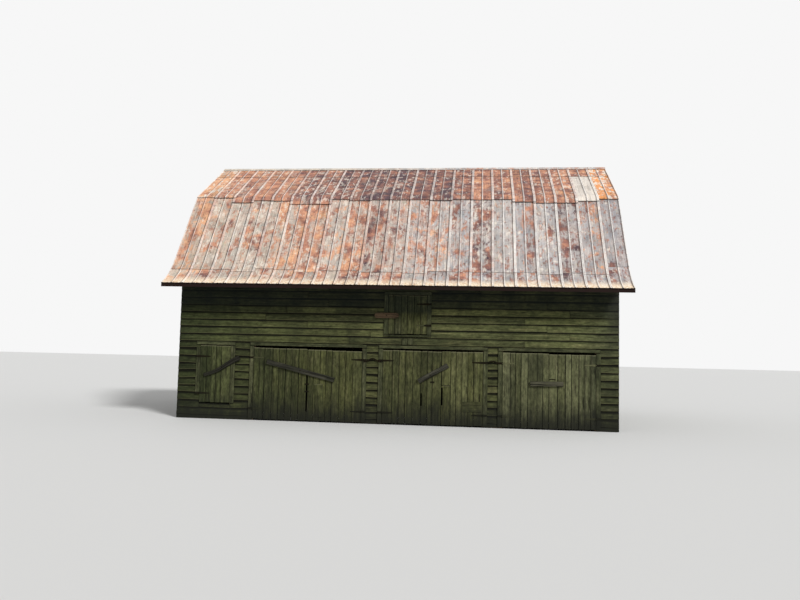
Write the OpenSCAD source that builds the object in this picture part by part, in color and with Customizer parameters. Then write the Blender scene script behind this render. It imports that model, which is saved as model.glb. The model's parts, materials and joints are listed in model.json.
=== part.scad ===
// Gambrel-roofed weatherboard barn with three pairs of doors, a small door and a loft door.
// +X runs along the front, the front faces -Y, +Z is up, and the ground is at Z = 0.

/* [Roof form] */
// Length of the roof along the ridge
roof_len = 12800; // [12500:50:14000]
// Height of the eave edge over the ground
eave_h = 3780; // [3700:10:4300]
// Plan overhang of the eaves beyond the long walls
eave_out = 850; // [820:10:950]
// Pitch of the sheets at the eave edge
eave_pitch = 25.5; // [20:0.5:32]
// Pitch of the steep lower slope
lower_pitch = 55.7; // [52:0.1:60]
// Pitch of the shallow upper slope
upper_pitch = 31.9; // [26:0.1:36]
// Radius of the bell-cast curve above the eave
flare_r = 2130; // [1900:10:2200]
// Plan width of the straight part of the lower slope
lower_run = 1500; // [1300:10:1700]

/* [Roof sheets] */
// Number of sheets side by side on each slope
sheet_count = 21; // [16:1:24]
// Thickness of a sheet
sheet_t = 3; // [2:0.5:5]
// Height of a pressed crimp
crimp_h = 14; // [8:1:18]
// Width of a pressed crimp at its foot
crimp_w = 30; // [24:1:44]
// Spacing of the two crimps at a side lap
crimp_pair = 42; // [38:1:90]
// Length by which the upper sheets pass the bend in the roof
bend_lap = 90; // [40:5:150]
// Width of each wing of the ridge cap
cap_w = 140; // [100:10:220]
// Radius of the hollow roll along the top of the ridge cap
roll_r = 20; // [14:1:30]

/* [Roof timbers] */
// Number of rafter pairs
frame_count = 11; // [7:1:15]
// Thickness of a rafter
rafter_w = 50; // [40:5:70]
// Depth of a rafter
rafter_d = 140; // [110:5:170]
// Depth of the curved rafter tails under the eaves
tail_d = 90; // [70:5:110]
// Thickness of a purlin board
purlin_t = 28; // [22:1:35]
// Width of a purlin board
purlin_w = 100; // [70:5:130]
// Thickness of the ridge board
ridge_board_t = 40; // [30:5:60]
// Depth of the ridge board
ridge_board_d = 200; // [160:10:260]
// Thickness of the eave board
fascia_t = 24; // [20:1:30]
// Height of the eave board
fascia_h = 120; // [90:5:150]
// Distance by which the sheets pass the eave board
fascia_in = 32; // [20:1:50]

/* [Walls] */
// Overhang of the roof beyond the end walls
gable_out = 250; // [200:10:300]
// Depth of the barn outside its walls
wall_depth = 7500; // [7000:50:8200]
// Thickness of the weatherboarding
board_t = 30; // [24:1:40]
// Side of a square post, sill or plate
post = 120; // [100:5:150]
// Distance that a jamb post shows behind the edge of a leaf
post_lap = 20; // [10:1:40]
// Clearance between the long walls' tops and the rafter tails over them
tail_gap = 5; // [3:1:20]
// Thickness of a stud
stud_t = 50; // [40:5:70]
// Depth of a stud
stud_d = 100; // [80:5:115]
// Number of studs between the back wall's corner posts
back_studs = 9; // [5:1:13]
// Number of studs between the corner posts of an end wall
end_studs = 5; // [3:2:9]

/* [Loft] */
// Height of the loft floor's top
loft_h = 2420; // [2400:5:2450]
// Thickness of the loft floor
floor_t = 28; // [22:1:35]
// Depth of a joist
joist_d = 170; // [140:5:180]
// Thickness of a joist
joist_t = 60; // [50:5:80]
// Number of joists
joist_count = 13; // [9:1:19]
// Thickness of the ledgers that carry the joists
girt_t = 60; // [45:5:80]
// Height of the ledgers that carry the joists
girt_h = 100; // [80:5:110]
// Side of the middle beam and its posts
beam = 150; // [130:10:180]
// Number of posts under the middle beam
beam_posts = 3; // [2:1:4]

/* [Doorways] */
// Height of the doorways' heads
door_head = 2100; // [2040:5:2110]
// Thickness of the boards round the doorways
trim_t = 25; // [20:1:30]
// Width of the upright boards beside the doorways
trim_w = 118; // [90:1:130]
// Width of the boards over the doorways
head_w = 80; // [60:5:100]
// Joint between two trim boards
trim_joint = 1; // [0.5:0.5:3]
// Front wall left of the small doorway, on a wall of the usual length
pier_1 = 655; // [500:5:800]
// Front wall between the small doorway and the first double doorway
pier_2 = 665; // [500:5:800]
// Front wall between the first and second double doorways
pier_3 = 570; // [400:5:700]
// Front wall between the second and third double doorways
pier_4 = 515; // [400:5:650]
// Front wall right of the third double doorway
pier_5 = 605; // [450:5:750]
// Width of the small doorway
small_w = 900; // [800:10:950]
// Height of the small doorway's sill
small_sill = 440; // [350:10:550]
// Width of the first double doorway
door_1_w = 3110; // [2900:10:3150]
// Width of the second double doorway
door_2_w = 2780; // [2600:10:2820]
// Width of the third double doorway
door_3_w = 2500; // [2300:10:2540]

/* [Leaves] */
// Thickness of a leaf's boards
leaf_t = 28; // [24:1:32]
// Gap beside a leaf and between two leaves
leaf_gap = 8; // [6:1:12]
// Gap between a double leaf and the doorway's head
leaf_top = 35; // [15:1:60]
// Gap between the small leaf and its doorway's head or sill
small_gap = 12; // [8:1:20]
// Height of a double leaf's foot over the ground
leaf_foot = 20; // [10:1:40]
// Thickness of the ledges behind a leaf
ledge_t = 24; // [18:1:26]
// Width of a ledge or brace
ledge_w = 140; // [110:5:170]
// Distance of a ledge's ends from the leaf's edges
ledge_in = 60; // [50:5:90]
// Distance from a leaf's top or foot to the nearest ledge
ledge_end = 200; // [150:5:240]

/* [Hinges] */
// Thickness of the hinge iron
iron_t = 5; // [4:0.5:6]
// Height of a hinge
hinge_h = 54; // [45:1:75]
// Length of a hinge strap on its leaf
strap_len = 300; // [200:10:400]
// Height of a hinge strap at its tip
strap_tip = 26; // [20:1:36]
// Outer radius of a hinge knuckle
knuckle_r = 10; // [9:0.5:12]
// Radius of a hinge pin
pin_r = 5; // [4:0.5:6]
// Distance that a knuckle stands clear of the boards
knuckle_off = 1; // [0.5:0.5:3]
// Clearance of a pin or bolt in its hole
pin_play = 0.1; // [0.05:0.05:0.2]
// Gap between two knuckles
knuckle_gap = 0.5; // [0.3:0.1:1]
// Height of the upper hinges on the double leaves
hinge_top = 1760; // [1700:10:1850]
// Height of the lower hinges on the double leaves
hinge_low = 330; // [280:10:500]
// Height of the small leaf's upper hinge
small_hinge_top = 1760; // [1700:10:1850]
// Height of the small leaf's lower hinge
small_hinge_low = 720; // [650:10:800]

/* [Turn bars] */
// Thickness of a turn bar
bar_t = 32; // [24:1:40]
// Width of a turn bar
bar_w = 130; // [90:5:150]
// Distance between a turn bar and the boards behind it
bar_off = 20; // [18:1:30]
// Radius of a turn bar's bolt
bolt_r = 8; // [6:1:10]
// Radius of the washers on a bolt
washer_r = 22; // [18:1:30]
// Thickness of a bolt's head
bolt_head = 8; // [6:1:12]
// End play of a turn bar on its bolt
bar_play = 0.3; // [0.2:0.1:0.5]
// Corner radius of a turn bar's ends
bar_round = 12; // [6:1:20]
// Length of the small leaf's bar
small_bar_len = 1200; // [900:10:1300]
// Slope of the small leaf's bar
small_bar_tilt = 26; // [0:1:40]
// Distance of the small bar's bolt right of the leaf's middle
small_bar_in = 210; // [100:5:250]
// Height of the small bar's bolt
small_bar_z = 1470; // [1300:5:1500]
// Length of the first pair's bar
bar_1_len = 2050; // [1400:10:2100]
// Slope of the first pair's bar
bar_1_tilt = -13.5; // [-20:0.5:0]
// Distance of the first bar's bolt left of the meeting line
bar_1_in = 190; // [100:5:250]
// Height of the first bar's bolt
bar_1_z = 1420; // [1250:5:1450]
// Length of the second pair's bar
bar_2_len = 970; // [700:10:1100]
// Slope of the second pair's bar
bar_2_tilt = 29.5; // [0:0.5:45]
// Height of the second bar's bolt
bar_2_z = 1395; // [1350:5:1450]
// Distance from the second bar's bolt to the middle of its board
bar_2_shift = 90; // [0:5:120]
// Length of the third pair's bar
bar_3_len = 925; // [700:10:1100]
// Slope of the third pair's bar
bar_3_tilt = 1; // [-10:1:10]
// Height of the third bar's bolt
bar_3_z = 1235; // [1200:5:1300]
// Distance of the second and third bars' bolts left of the meeting lines
bar_in = 60; // [45:5:90]

/* [Latches] */
// Length of a hasp across the meeting line
hasp_len = 120; // [100:5:160]
// Height of a hasp
hasp_h = 34; // [24:1:44]
// Distance that a hasp stands over the other leaf
hasp_off = 6; // [5.5:0.5:7]
// Height of the first pair's upper hasp
hasp_top = 1050; // [950:5:1150]
// Height of the first pair's lower hasp
hasp_low = 845; // [750:5:900]
// Height of the second pair's hasp
hasp_2_z = 1200; // [1150:5:1250]

/* [Loft door] */
// Distance of the loft doorway's middle right of the barn's middle
loft_x = 420; // [300:10:600]
// Width of the loft doorway
loft_w = 1090; // [900:10:1200]
// Height of the loft doorway's sill
loft_sill = 2480; // [2460:5:2560]
// Height of the loft doorway
loft_door_h = 1120; // [900:10:1160]
// Height of the loft door's sill board
sill_board = 40; // [30:5:60]
// Length of the loft door's turn button
button_len = 675; // [400:5:750]
// Width of the loft door's turn button
button_w = 150; // [100:5:180]
// Height of the turn button's bolt
button_z = 3010; // [2900:10:3200]
// Height of the loft door's upper hinge over its sill
loft_hinge_top = 860; // [750:10:900]
// Height of the loft door's lower hinge over its sill
loft_hinge_low = 270; // [150:10:350]

/* [Hidden] */
$fn = 48;

wall_len = roof_len - 2 * gable_out;
half_len = wall_len / 2;
half_depth = wall_depth / 2;
half_span = half_depth + eave_out;

// Roof profile of one side, as distance out from the ridge and height, on the sheets' underside
flare_run = flare_r * (sin(lower_pitch) - sin(eave_pitch));
flare_top = [half_span - flare_run, eave_h + flare_r * (cos(eave_pitch) - cos(lower_pitch))];
bend = [flare_top.x - lower_run, flare_top.y + lower_run * tan(lower_pitch)];
ridge_h = bend.y + bend.x * tan(upper_pitch);
flare_mid = flare_top + flare_r * [sin(lower_pitch), cos(lower_pitch)];
bend_pitch = (lower_pitch + upper_pitch) / 2;

// Heights of the curve, the lower slope and the upper slope at a distance out and a depth under the sheets
function curve_z(u, depth) = flare_mid.y - sqrt(pow(flare_r + depth, 2) - pow(u - flare_mid.x, 2));
function lower_z(u, depth) = flare_top.y + (flare_top.x - u) * tan(lower_pitch) - depth / cos(lower_pitch);
function upper_z(u, depth) = ridge_h - u * tan(upper_pitch) - depth / cos(upper_pitch);
// Bend line at a depth under the sheets
function bend_at(depth) = bend - depth / cos(lower_pitch - bend_pitch) * [sin(bend_pitch), cos(bend_pitch)];

// Clearance under the purlins, so that seated timbers don't cut into each other
seat = 0.1;
rafter_top = purlin_t + seat;
tail_top_r = norm([flare_r + purlin_t, purlin_w / 2]) + seat;

// Top of the long walls, just under the rafter tails
plate_top = lower_z(half_depth, purlin_t + tail_d) - tail_gap;

sheet_w = roof_len / sheet_count;
lower_len = lower_run / cos(lower_pitch) - crimp_h - 2 * sheet_t;
upper_len = bend.x / cos(upper_pitch);

// Front planes, from the weatherboards outwards and inwards
board_y = -half_depth;
inner_y = board_y + board_t;
post_y = inner_y + post;
face_y = board_y - trim_t;
bar_y = face_y - bar_off;
pin_y = face_y - knuckle_r - knuckle_off;

// Doorways along the front, each with the wall left of it. The walls share what the doorways leave
pier_fit = (wall_len - small_w - door_1_w - door_2_w - door_3_w) / (pier_1 + pier_2 + pier_3 + pier_4 + pier_5);
small_left = pier_fit * pier_1 - half_len;
left_1 = small_left + small_w + pier_fit * pier_2;
left_2 = left_1 + door_1_w + pier_fit * pier_3;
left_3 = left_2 + door_2_w + pier_fit * pier_4;
small_open = [small_left, small_left + small_w];
open_1 = [left_1, left_1 + door_1_w];
open_2 = [left_2, left_2 + door_2_w];
open_3 = [left_3, left_3 + door_3_w];
loft_open = [loft_x - loft_w / 2, loft_x + loft_w / 2];
openings = [small_open, open_1, open_2, open_3];

// Feet and tops of the leaves
leaf_z = [leaf_foot, door_head - leaf_top];
small_z = [small_sill + small_gap, door_head - small_gap];

// Bolts of the turn bars along the front, and the lines where the leaves meet
small_bar_x = small_left + small_w / 2 + small_bar_in;
meet_1 = left_1 + door_1_w / 2;
meet_2 = left_2 + door_2_w / 2;
meet_3 = left_3 + door_3_w / 2;
bar_1_x = meet_1 - bar_1_in;
bar_2_x = meet_2 - bar_in;
bar_3_x = meet_3 - bar_in;
piers = [[-half_len, small_open[0]], [small_open[1], open_1[0]], [open_1[1], open_2[0]],
    [open_2[1], open_3[0]], [open_3[1], half_len]];

girt_top = loft_h - floor_t - joist_d;
loft_top = loft_sill + loft_door_h;
button_x = loft_open[0] - trim_w / 3;

// Rafter, joist and stud positions
function spread(count, half) = [for (i = [0:count - 1]) half * (2 * i / (count - 1) - 1)];
frame_xs = spread(frame_count, half_len - board_t - rafter_w / 2);
joist_xs = spread(joist_count, half_len - board_t - post - joist_t / 2);
back_xs = spread(back_studs + 2, half_len - board_t - post / 2);
end_ys = spread(end_studs + 2, half_depth - board_t - post / 2);

// A box between two corners
module span_box(low, high) {
    translate(low) cube(high - low);
}

// A flat shape in X and Z, made solid between two depths
module in_front(y0, y1) {
    translate([0, y1, 0]) rotate([90, 0, 0]) linear_extrude(y1 - y0) children();
}

// A flat shape in distance out and height, made solid along X on the front side
module along(x0, x1) {
    translate([x0, 0, 0]) rotate([90, 0, -90]) mirror([0, 0, 1]) linear_extrude(x1 - x0) children();
}

module both_sides() {
    children();
    mirror([0, 1, 0]) children();
}

// Roof covering

// Centres of the crimps along the roof: one in the middle and two beside each lap
crimp_xs = [for (i = [0:sheet_count - 1], x = [crimp_pair / 2, sheet_w / 2, sheet_w - crimp_pair / 2])
    i * sheet_w + x - roof_len / 2];

function crimp_path(h) = concat([[-roof_len / 2, h]],
    [for (x = crimp_xs, p = [[-crimp_w / 2, 0], [0, crimp_h], [crimp_w / 2, 0]]) [x + p.x, h + p.y]],
    [[roof_len / 2, h]]);

function backwards(list) = [for (i = [len(list) - 1:-1:0]) list[i]];

module crimp_profile() {
    polygon(concat(crimp_path(0), backwards(crimp_path(sheet_t))));
}

// Crimped sheets on a straight slope of the front, from a foot point upwards
module sloped_sheets(foot, pitch, length) {
    translate([0, -foot.x, foot.y]) rotate([pitch - 90, 0, 0])
        linear_extrude(length) mirror([0, 1]) crimp_profile();
}

// Crimped sheets on the bell-cast curve of the front
module curved_sheets() {
    translate([0, -flare_mid.x, flare_mid.y]) rotate([0, 90, 0]) rotate([0, 0, eave_pitch])
        rotate_extrude(angle = lower_pitch - eave_pitch, $fn = 180)
            translate([flare_r, 0]) rotate(90) crimp_profile();
}

module lower_sheets() {
    sloped_sheets(flare_top, lower_pitch, lower_len);
}

module upper_sheets() {
    foot = bend + bend_lap * [cos(upper_pitch), -sin(upper_pitch)];
    top_cut = crimp_h * tan(upper_pitch) + sheet_t * tan(upper_pitch);
    sloped_sheets(foot, upper_pitch, upper_len + bend_lap - top_cut);
}

module front_flare_roof() color("tan") curved_sheets();
module front_lower_roof() color("rosybrown") lower_sheets();
module front_upper_roof() color("sienna") upper_sheets();
module back_flare_roof() color("tan") mirror([0, 1, 0]) curved_sheets();
module back_lower_roof() color("rosybrown") mirror([0, 1, 0]) lower_sheets();
module back_upper_roof() color("sienna") mirror([0, 1, 0]) upper_sheets();

// Folded cap with a roll along its top, that sits on the crimps of both upper slopes
module ridge_cap() color("lightgray") {
    seat = (crimp_h + sheet_t) / cos(upper_pitch);
    out = cap_w * cos(upper_pitch);
    drop = cap_w * sin(upper_pitch);
    fold_t = sheet_t / cos(upper_pitch);
    along(-roof_len / 2, roof_len / 2) translate([0, ridge_h + seat]) {
        polygon([[0, 0], [out, -drop], [out, fold_t - drop], [0, fold_t],
            [-out, fold_t - drop], [-out, -drop]]);
        translate([0, fold_t / 2 + roll_r]) difference() {
            circle(roll_r, $fn = 48);
            circle(roll_r - sheet_t, $fn = 48);
        }
    }
}

// Roof timbers

// Straight rafter of the lower slope with its curved tail
module lower_rafter_shape() {
    foot_u = half_span - fascia_in - fascia_t;
    low = purlin_t + rafter_d;
    difference() {
        union() {
            polygon([[bend_at(rafter_top).x, bend_at(rafter_top).y],
                [flare_top.x - rafter_top * sin(lower_pitch), flare_top.y - rafter_top * cos(lower_pitch)],
                [flare_top.x - low * sin(lower_pitch), flare_top.y - low * cos(lower_pitch)],
                [bend_at(low).x, bend_at(low).y]]);
            intersection() {
                difference() {
                    translate(flare_mid) circle(flare_r + purlin_t + tail_d, $fn = 180);
                    translate(flare_mid) circle(tail_top_r, $fn = 180);
                }
                polygon([flare_mid, [foot_u, curve_z(foot_u, 0)], [foot_u, eave_h - 2 * tail_d],
                    flare_mid - 2 * flare_r * [sin(lower_pitch), cos(lower_pitch)]]);
            }
        }
        square([half_depth - board_t, plate_top]);
    }
}

module upper_rafter_shape() {
    low = purlin_t + rafter_d;
    board_u = ridge_board_t / 2;
    polygon([[board_u, upper_z(board_u, rafter_top)], [bend_at(rafter_top).x, bend_at(rafter_top).y],
        [bend_at(low).x, bend_at(low).y], [board_u, upper_z(board_u, low)]]);
}

module lower_rafters() color("saddlebrown") {
    for (x = frame_xs) both_sides() along(x - rafter_w / 2, x + rafter_w / 2) lower_rafter_shape();
}

module upper_rafters() color("saddlebrown") {
    for (x = frame_xs) both_sides() along(x - rafter_w / 2, x + rafter_w / 2) upper_rafter_shape();
}

// Purlin boards on a straight slope, at equal steps between two distances from its foot
module slope_purlins(foot, pitch, first, last, count) {
    for (i = [0:count - 1])
        translate([-roof_len / 2, -foot.x, foot.y]) rotate([pitch, 0, 0])
            translate([0, first + (last - first) * i / (count - 1) - purlin_w / 2, -purlin_t])
                cube([roof_len, purlin_w, purlin_t]);
}

// Purlin boards on the curve, tangent to it
module curve_purlins(count) {
    first = eave_pitch + 4;
    last = lower_pitch - 4;
    for (i = [0:count - 1]) {
        pitch = first + (last - first) * i / (count - 1);
        translate([-roof_len / 2, -flare_mid.x, flare_mid.y]) rotate([pitch, 0, 0])
            translate([0, -purlin_w / 2, -flare_r - purlin_t]) cube([roof_len, purlin_w, purlin_t]);
    }
}

module purlins_and_ridge_board() color("peru") {
    both_sides() {
        curve_purlins(3);
        slope_purlins(flare_top, lower_pitch, 3 * purlin_w / 2, lower_len - purlin_w, 5);
        slope_purlins(bend, upper_pitch, purlin_w, upper_len - purlin_w, 5);
    }
    span_box([-half_len + board_t, -ridge_board_t / 2, upper_z(0, purlin_t + sheet_t) - ridge_board_d],
        [half_len - board_t, ridge_board_t / 2, upper_z(ridge_board_t / 2, purlin_t)]);
}

module eave_boards() color("maroon") both_sides() {
    u = half_span - fascia_in;
    span_box([-roof_len / 2, -u, curve_z(u, 0) - fascia_h], [roof_len / 2, fascia_t - u, curve_z(u, 0)]);
}

// Walls

module wall_box(x0, x1, z0, z1) {
    span_box([x0, board_y, z0], [x1, inner_y, z1]);
}

module front_wall_piers() color("olivedrab") {
    for (p = piers) wall_box(p[0], p[1], 0, door_head);
}

module front_wall_upper() color("olivedrab") difference() {
    wall_box(-half_len, half_len, door_head, plate_top);
    span_box([loft_open[0], board_y - 1, loft_sill], [loft_open[1], inner_y + 1, loft_top]);
}

module small_door_apron() color("olivedrab") {
    wall_box(small_open[0], small_open[1], 0, small_sill);
}

module back_wall() color("olivedrab") {
    span_box([-half_len, -inner_y, 0], [half_len, -board_y, plate_top]);
}

// End wall up to the undersides of the purlins
module end_wall_shape() {
    inner_u = half_depth - board_t;
    side = [inner_u, lower_z(inner_u, rafter_top)];
    top_bend = bend_at(rafter_top);
    polygon([[inner_u, 0], side, top_bend, [0, upper_z(0, rafter_top)], [-top_bend.x, top_bend.y],
        [-side.x, side.y], [-inner_u, 0]]);
}

module left_wall() color("olivedrab") along(-half_len, board_t - half_len) end_wall_shape();
module right_wall() color("olivedrab") along(half_len - board_t, half_len) end_wall_shape();

// Timber frame

// Posts at both sides of a doorway and at the corners, and studs between them
module posts_and_studs() color("burlywood") {
    low = post;
    high = plate_top - post;
    corner = half_len - board_t - post;
    for (o = openings, x = [o[0] - post + post_lap, o[1] - post_lap])
        span_box([x, inner_y, low], [x + post, post_y, high]);
    for (x = [-corner - post, corner], y = [inner_y, -post_y])
        span_box([x, y, low], [x + post, y + post, high]);
    for (i = [1:back_studs])
        translate([back_xs[i] - stud_t / 2, -inner_y - stud_d, low]) cube([stud_t, stud_d, high - low]);
    for (i = [1:end_studs], x = [board_t - half_len, half_len - board_t - stud_d])
        translate([x, end_ys[i] - stud_t / 2, low]) cube([stud_d, stud_t, high - low]);
    for (x = spread(beam_posts, half_len / 2))
        span_box([x - beam / 2, -beam / 2, 0], [x + beam / 2, beam / 2, girt_top - beam]);
}

// Sills under the posts, open at the double doorways
module sills() color("burlywood") {
    run = half_len - board_t;
    spans = [[-run, open_1[0] + post_lap], [open_1[1] - post_lap, open_2[0] + post_lap],
        [open_2[1] - post_lap, open_3[0] + post_lap], [open_3[1] - post_lap, run]];
    for (s = spans) span_box([s[0], inner_y, 0], [s[1], post_y, post]);
    span_box([-run, -post_y, 0], [run, -inner_y, post]);
    for (x = [-run, run - post])
        span_box([x, post_y + trim_joint, 0], [x + post, -post_y - trim_joint, post]);
}

// Plates on the long walls, ties across the ends, lintels over the doorways and ledgers of the loft
module plates_and_girts() color("burlywood") {
    run = half_len - board_t;
    low = plate_top - post;
    for (y = [inner_y, -post_y]) span_box([-run, y, low], [run, y + post, plate_top]);
    for (x = [-run, run - post])
        span_box([x, post_y + trim_joint, low], [x + post, -post_y - trim_joint, plate_top]);
    for (o = openings)
        span_box([o[0] + post_lap, inner_y, door_head], [o[1] - post_lap, post_y - board_t, door_head + post]);
    for (y = [post_y, -post_y - girt_t])
        span_box([-run + post, y, girt_top - girt_h], [run - post, y + girt_t, girt_top]);
}

module middle_beam() color("burlywood") {
    run = half_len - board_t - stud_d;
    span_box([-run, -beam / 2, girt_top - beam], [run, beam / 2, girt_top]);
}

module loft_joists() color("burlywood") {
    for (x = joist_xs)
        span_box([x - joist_t / 2, post_y, girt_top], [x + joist_t / 2, -post_y, girt_top + joist_d]);
}

module loft_floor() color("burlywood") {
    run = half_len - board_t - post;
    span_box([-run, post_y, loft_h - floor_t], [run, -post_y, loft_h]);
}

// Trims round the doorways

module trims(o, z0, head_z) {
    for (x = [o[0] - trim_w, o[1]]) span_box([x, face_y, z0], [x + trim_w, board_y, head_z - trim_joint]);
    span_box([o[0] - trim_w, face_y, head_z], [o[1] + trim_w, board_y, head_z + head_w]);
}

module door_trims() color("darkolivegreen") {
    trims(small_open, small_sill, door_head);
    for (o = [open_1, open_2, open_3]) trims(o, 0, door_head);
    trims(loft_open, loft_sill, loft_top);
    span_box([loft_open[0] - trim_w, face_y, loft_sill - sill_board - trim_joint],
        [loft_open[1] + trim_w, board_y, loft_sill - trim_joint]);
}

// Leaves

// Boarded leaf with two ledges behind it, and a brace that rises from the hinge side
module leaf(x0, x1, zs, hinge_x) {
    back = face_y + leaf_t;
    low = zs[0] + ledge_end;
    high = zs[1] - ledge_end;
    left = x0 + ledge_in;
    right = x1 - ledge_in;
    from = hinge_x < (x0 + x1) / 2 ? left : right;
    to = hinge_x < (x0 + x1) / 2 ? right : left;
    step = from < to ? ledge_w : -ledge_w;
    span_box([x0, face_y, zs[0]], [x1, back, zs[1]]);
    for (z = [low, high - ledge_w]) span_box([left, back, z], [right, back + ledge_t, z + ledge_w]);
    in_front(back, back + ledge_t)
        polygon([[from, low], [from + step, low], [to, high], [to - step, high]]);
}

module left_leaf(o, zs) {
    leaf(o[0] + leaf_gap, (o[0] + o[1] - leaf_gap) / 2, zs, o[0]);
}

module right_leaf(o, zs) {
    leaf((o[0] + o[1] + leaf_gap) / 2, o[1] - leaf_gap, zs, o[1]);
}

module small_door() color("yellowgreen") {
    leaf(small_open[0] + leaf_gap, small_open[1] - leaf_gap, small_z, small_open[0]);
}
module door_1_left() color("yellowgreen") left_leaf(open_1, leaf_z);
module door_1_right() color("yellowgreen") right_leaf(open_1, leaf_z);
module door_2_left() color("yellowgreen") left_leaf(open_2, leaf_z);
module door_2_right() color("yellowgreen") right_leaf(open_2, leaf_z);
module door_3_left() color("yellowgreen") left_leaf(open_3, leaf_z);
module door_3_right() color("yellowgreen") right_leaf(open_3, leaf_z);

module loft_door() color("yellowgreen") {
    leaf(loft_open[0] + leaf_gap, loft_open[1] - leaf_gap, [loft_sill + small_gap, loft_top - small_gap],
        loft_open[1]);
}

// Hinges: the pin stands over the gap beside the leaf, in front of the boards

knuckle_h = (hinge_h - 2 * knuckle_gap) / 3;
iron_y = knuckle_r + knuckle_off;
neck = 1.3 * knuckle_r;

// Leaf side of a hinge about the origin: strap along +X and the middle knuckle
module strap() {
    difference() {
        union() {
            cylinder(r = knuckle_r, h = knuckle_h, center = true);
            in_front(iron_y - iron_t, iron_y) polygon([[0, -knuckle_h / 2], [neck, -knuckle_h / 2],
                [2 * knuckle_r, -hinge_h / 2], [strap_len, -strap_tip / 2], [strap_len, strap_tip / 2],
                [2 * knuckle_r, hinge_h / 2], [neck, knuckle_h / 2], [0, knuckle_h / 2]]);
        }
        cylinder(r = pin_r + pin_play, h = hinge_h, center = true);
    }
}

// Wall side of a hinge about the origin: plate along -X, two knuckles and the pin
module hinge_plate() {
    for (s = [-1, 1]) translate([0, 0, s * (hinge_h - knuckle_h) / 2]) {
        cylinder(r = knuckle_r, h = knuckle_h, center = true);
        translate([-2 * knuckle_r, iron_y - iron_t, -knuckle_h / 2])
            cube([2 * knuckle_r, iron_t, knuckle_h]);
    }
    cylinder(r = pin_r, h = hinge_h, center = true);
    translate([-trim_w, iron_y - iron_t, -hinge_h / 2]) cube([trim_w - 2 * knuckle_r, iron_t, hinge_h]);
}

// Places its children at a hinge, turned about for one on the right side of a doorway
module at_hinge(x, z, on_right) {
    translate([on_right ? x - leaf_gap / 2 : x + leaf_gap / 2, pin_y, z])
        mirror([on_right ? 1 : 0, 0, 0]) children();
}

module straps(x, zs, on_right) {
    for (z = zs) at_hinge(x, z, on_right) strap();
}

// Bolt of a turn bar with the washer that holds the bar off the boards
module bar_bolt(x, z) {
    translate([x, face_y, z]) rotate([90, 0, 0]) {
        cylinder(r = bolt_r, h = bar_off + bar_t + bar_play + bolt_head);
        cylinder(r = washer_r, h = bar_off - bar_play);
        translate([0, 0, bar_off + bar_t + bar_play]) cylinder(r = 2 * bolt_r, h = bolt_head, $fn = 6);
    }
}

// Hasp on the left leaf that stands over the right leaf's edge
module hasp(x, z) {
    span_box([x - hasp_len / 2, face_y - iron_t, z - hasp_h / 2], [x - leaf_gap, face_y, z + hasp_h / 2]);
    span_box([x - 3 * leaf_gap, face_y - hasp_off - iron_t, z - hasp_h / 2],
        [x + hasp_len / 2, face_y - hasp_off, z + hasp_h / 2]);
    span_box([x - 3 * leaf_gap, face_y - hasp_off, z - hasp_h / 2],
        [x - leaf_gap, face_y, z + hasp_h / 2]);
}

double_hinges = [hinge_low, hinge_top];

module small_door_iron() color("dimgray") {
    straps(small_open[0], [small_hinge_low, small_hinge_top], false);
    bar_bolt(small_bar_x, small_bar_z);
}
module door_1_left_iron() color("dimgray") {
    straps(open_1[0], double_hinges, false);
    bar_bolt(bar_1_x, bar_1_z);
    for (z = [hasp_top, hasp_low]) hasp(meet_1, z);
}
module door_1_right_iron() color("dimgray") straps(open_1[1], double_hinges, true);
module door_2_left_iron() color("dimgray") {
    straps(open_2[0], double_hinges, false);
    bar_bolt(bar_2_x, bar_2_z);
    hasp(meet_2, hasp_2_z);
}
module door_2_right_iron() color("dimgray") straps(open_2[1], double_hinges, true);
module door_3_left_iron() color("dimgray") {
    straps(open_3[0], double_hinges, false);
    bar_bolt(bar_3_x, bar_3_z);
}
module door_3_right_iron() color("dimgray") straps(open_3[1], double_hinges, true);

// Wall sides of the hinges, the loft door's whole hinges and the loft button's bolt
module fixed_ironwork() color("dimgray") {
    for (z = [small_hinge_low, small_hinge_top]) at_hinge(small_open[0], z, false) hinge_plate();
    for (o = [open_1, open_2, open_3], z = double_hinges) {
        at_hinge(o[0], z, false) hinge_plate();
        at_hinge(o[1], z, true) hinge_plate();
    }
    for (z = [loft_hinge_low, loft_hinge_top])
        in_front(face_y - iron_t, face_y) translate([loft_open[1], loft_sill + z])
            polygon([[trim_w, -hinge_h / 2], [trim_w, hinge_h / 2], [0, hinge_h / 2],
                [-strap_len, strap_tip / 2], [-strap_len, -strap_tip / 2], [0, -hinge_h / 2]]);
    bar_bolt(button_x, button_z);
}

// Turn bars

module turn_bar(x, z, length, width, tilt, round_r, shift = 0) {
    in_front(bar_y - bar_t, bar_y) translate([x, z]) rotate(tilt) difference() {
        translate([shift, 0]) union() {
            square([length - 2 * round_r, width], center = true);
            square([length, width - 2 * round_r], center = true);
            for (sx = [-1, 1], sy = [-1, 1])
                translate([sx * (length / 2 - round_r), sy * (width / 2 - round_r)]) circle(round_r);
        }
        circle(bolt_r + pin_play);
    }
}

module small_door_bar() color("dimgray") {
    turn_bar(small_bar_x, small_bar_z, small_bar_len, bar_w, small_bar_tilt, bar_round);
}
module door_1_bar() color("dimgray") {
    turn_bar(bar_1_x, bar_1_z, bar_1_len, bar_w, bar_1_tilt, bar_round);
}
module door_2_bar() color("dimgray") {
    turn_bar(bar_2_x, bar_2_z, bar_2_len, bar_w, bar_2_tilt, bar_round, bar_2_shift);
}
module door_3_bar() color("dimgray") {
    turn_bar(bar_3_x, bar_3_z, bar_3_len, bar_w, bar_3_tilt, bar_round);
}
module loft_button() color("brown") {
    turn_bar(button_x, button_z, button_len, button_w, 0, button_w / 3);
}

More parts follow.
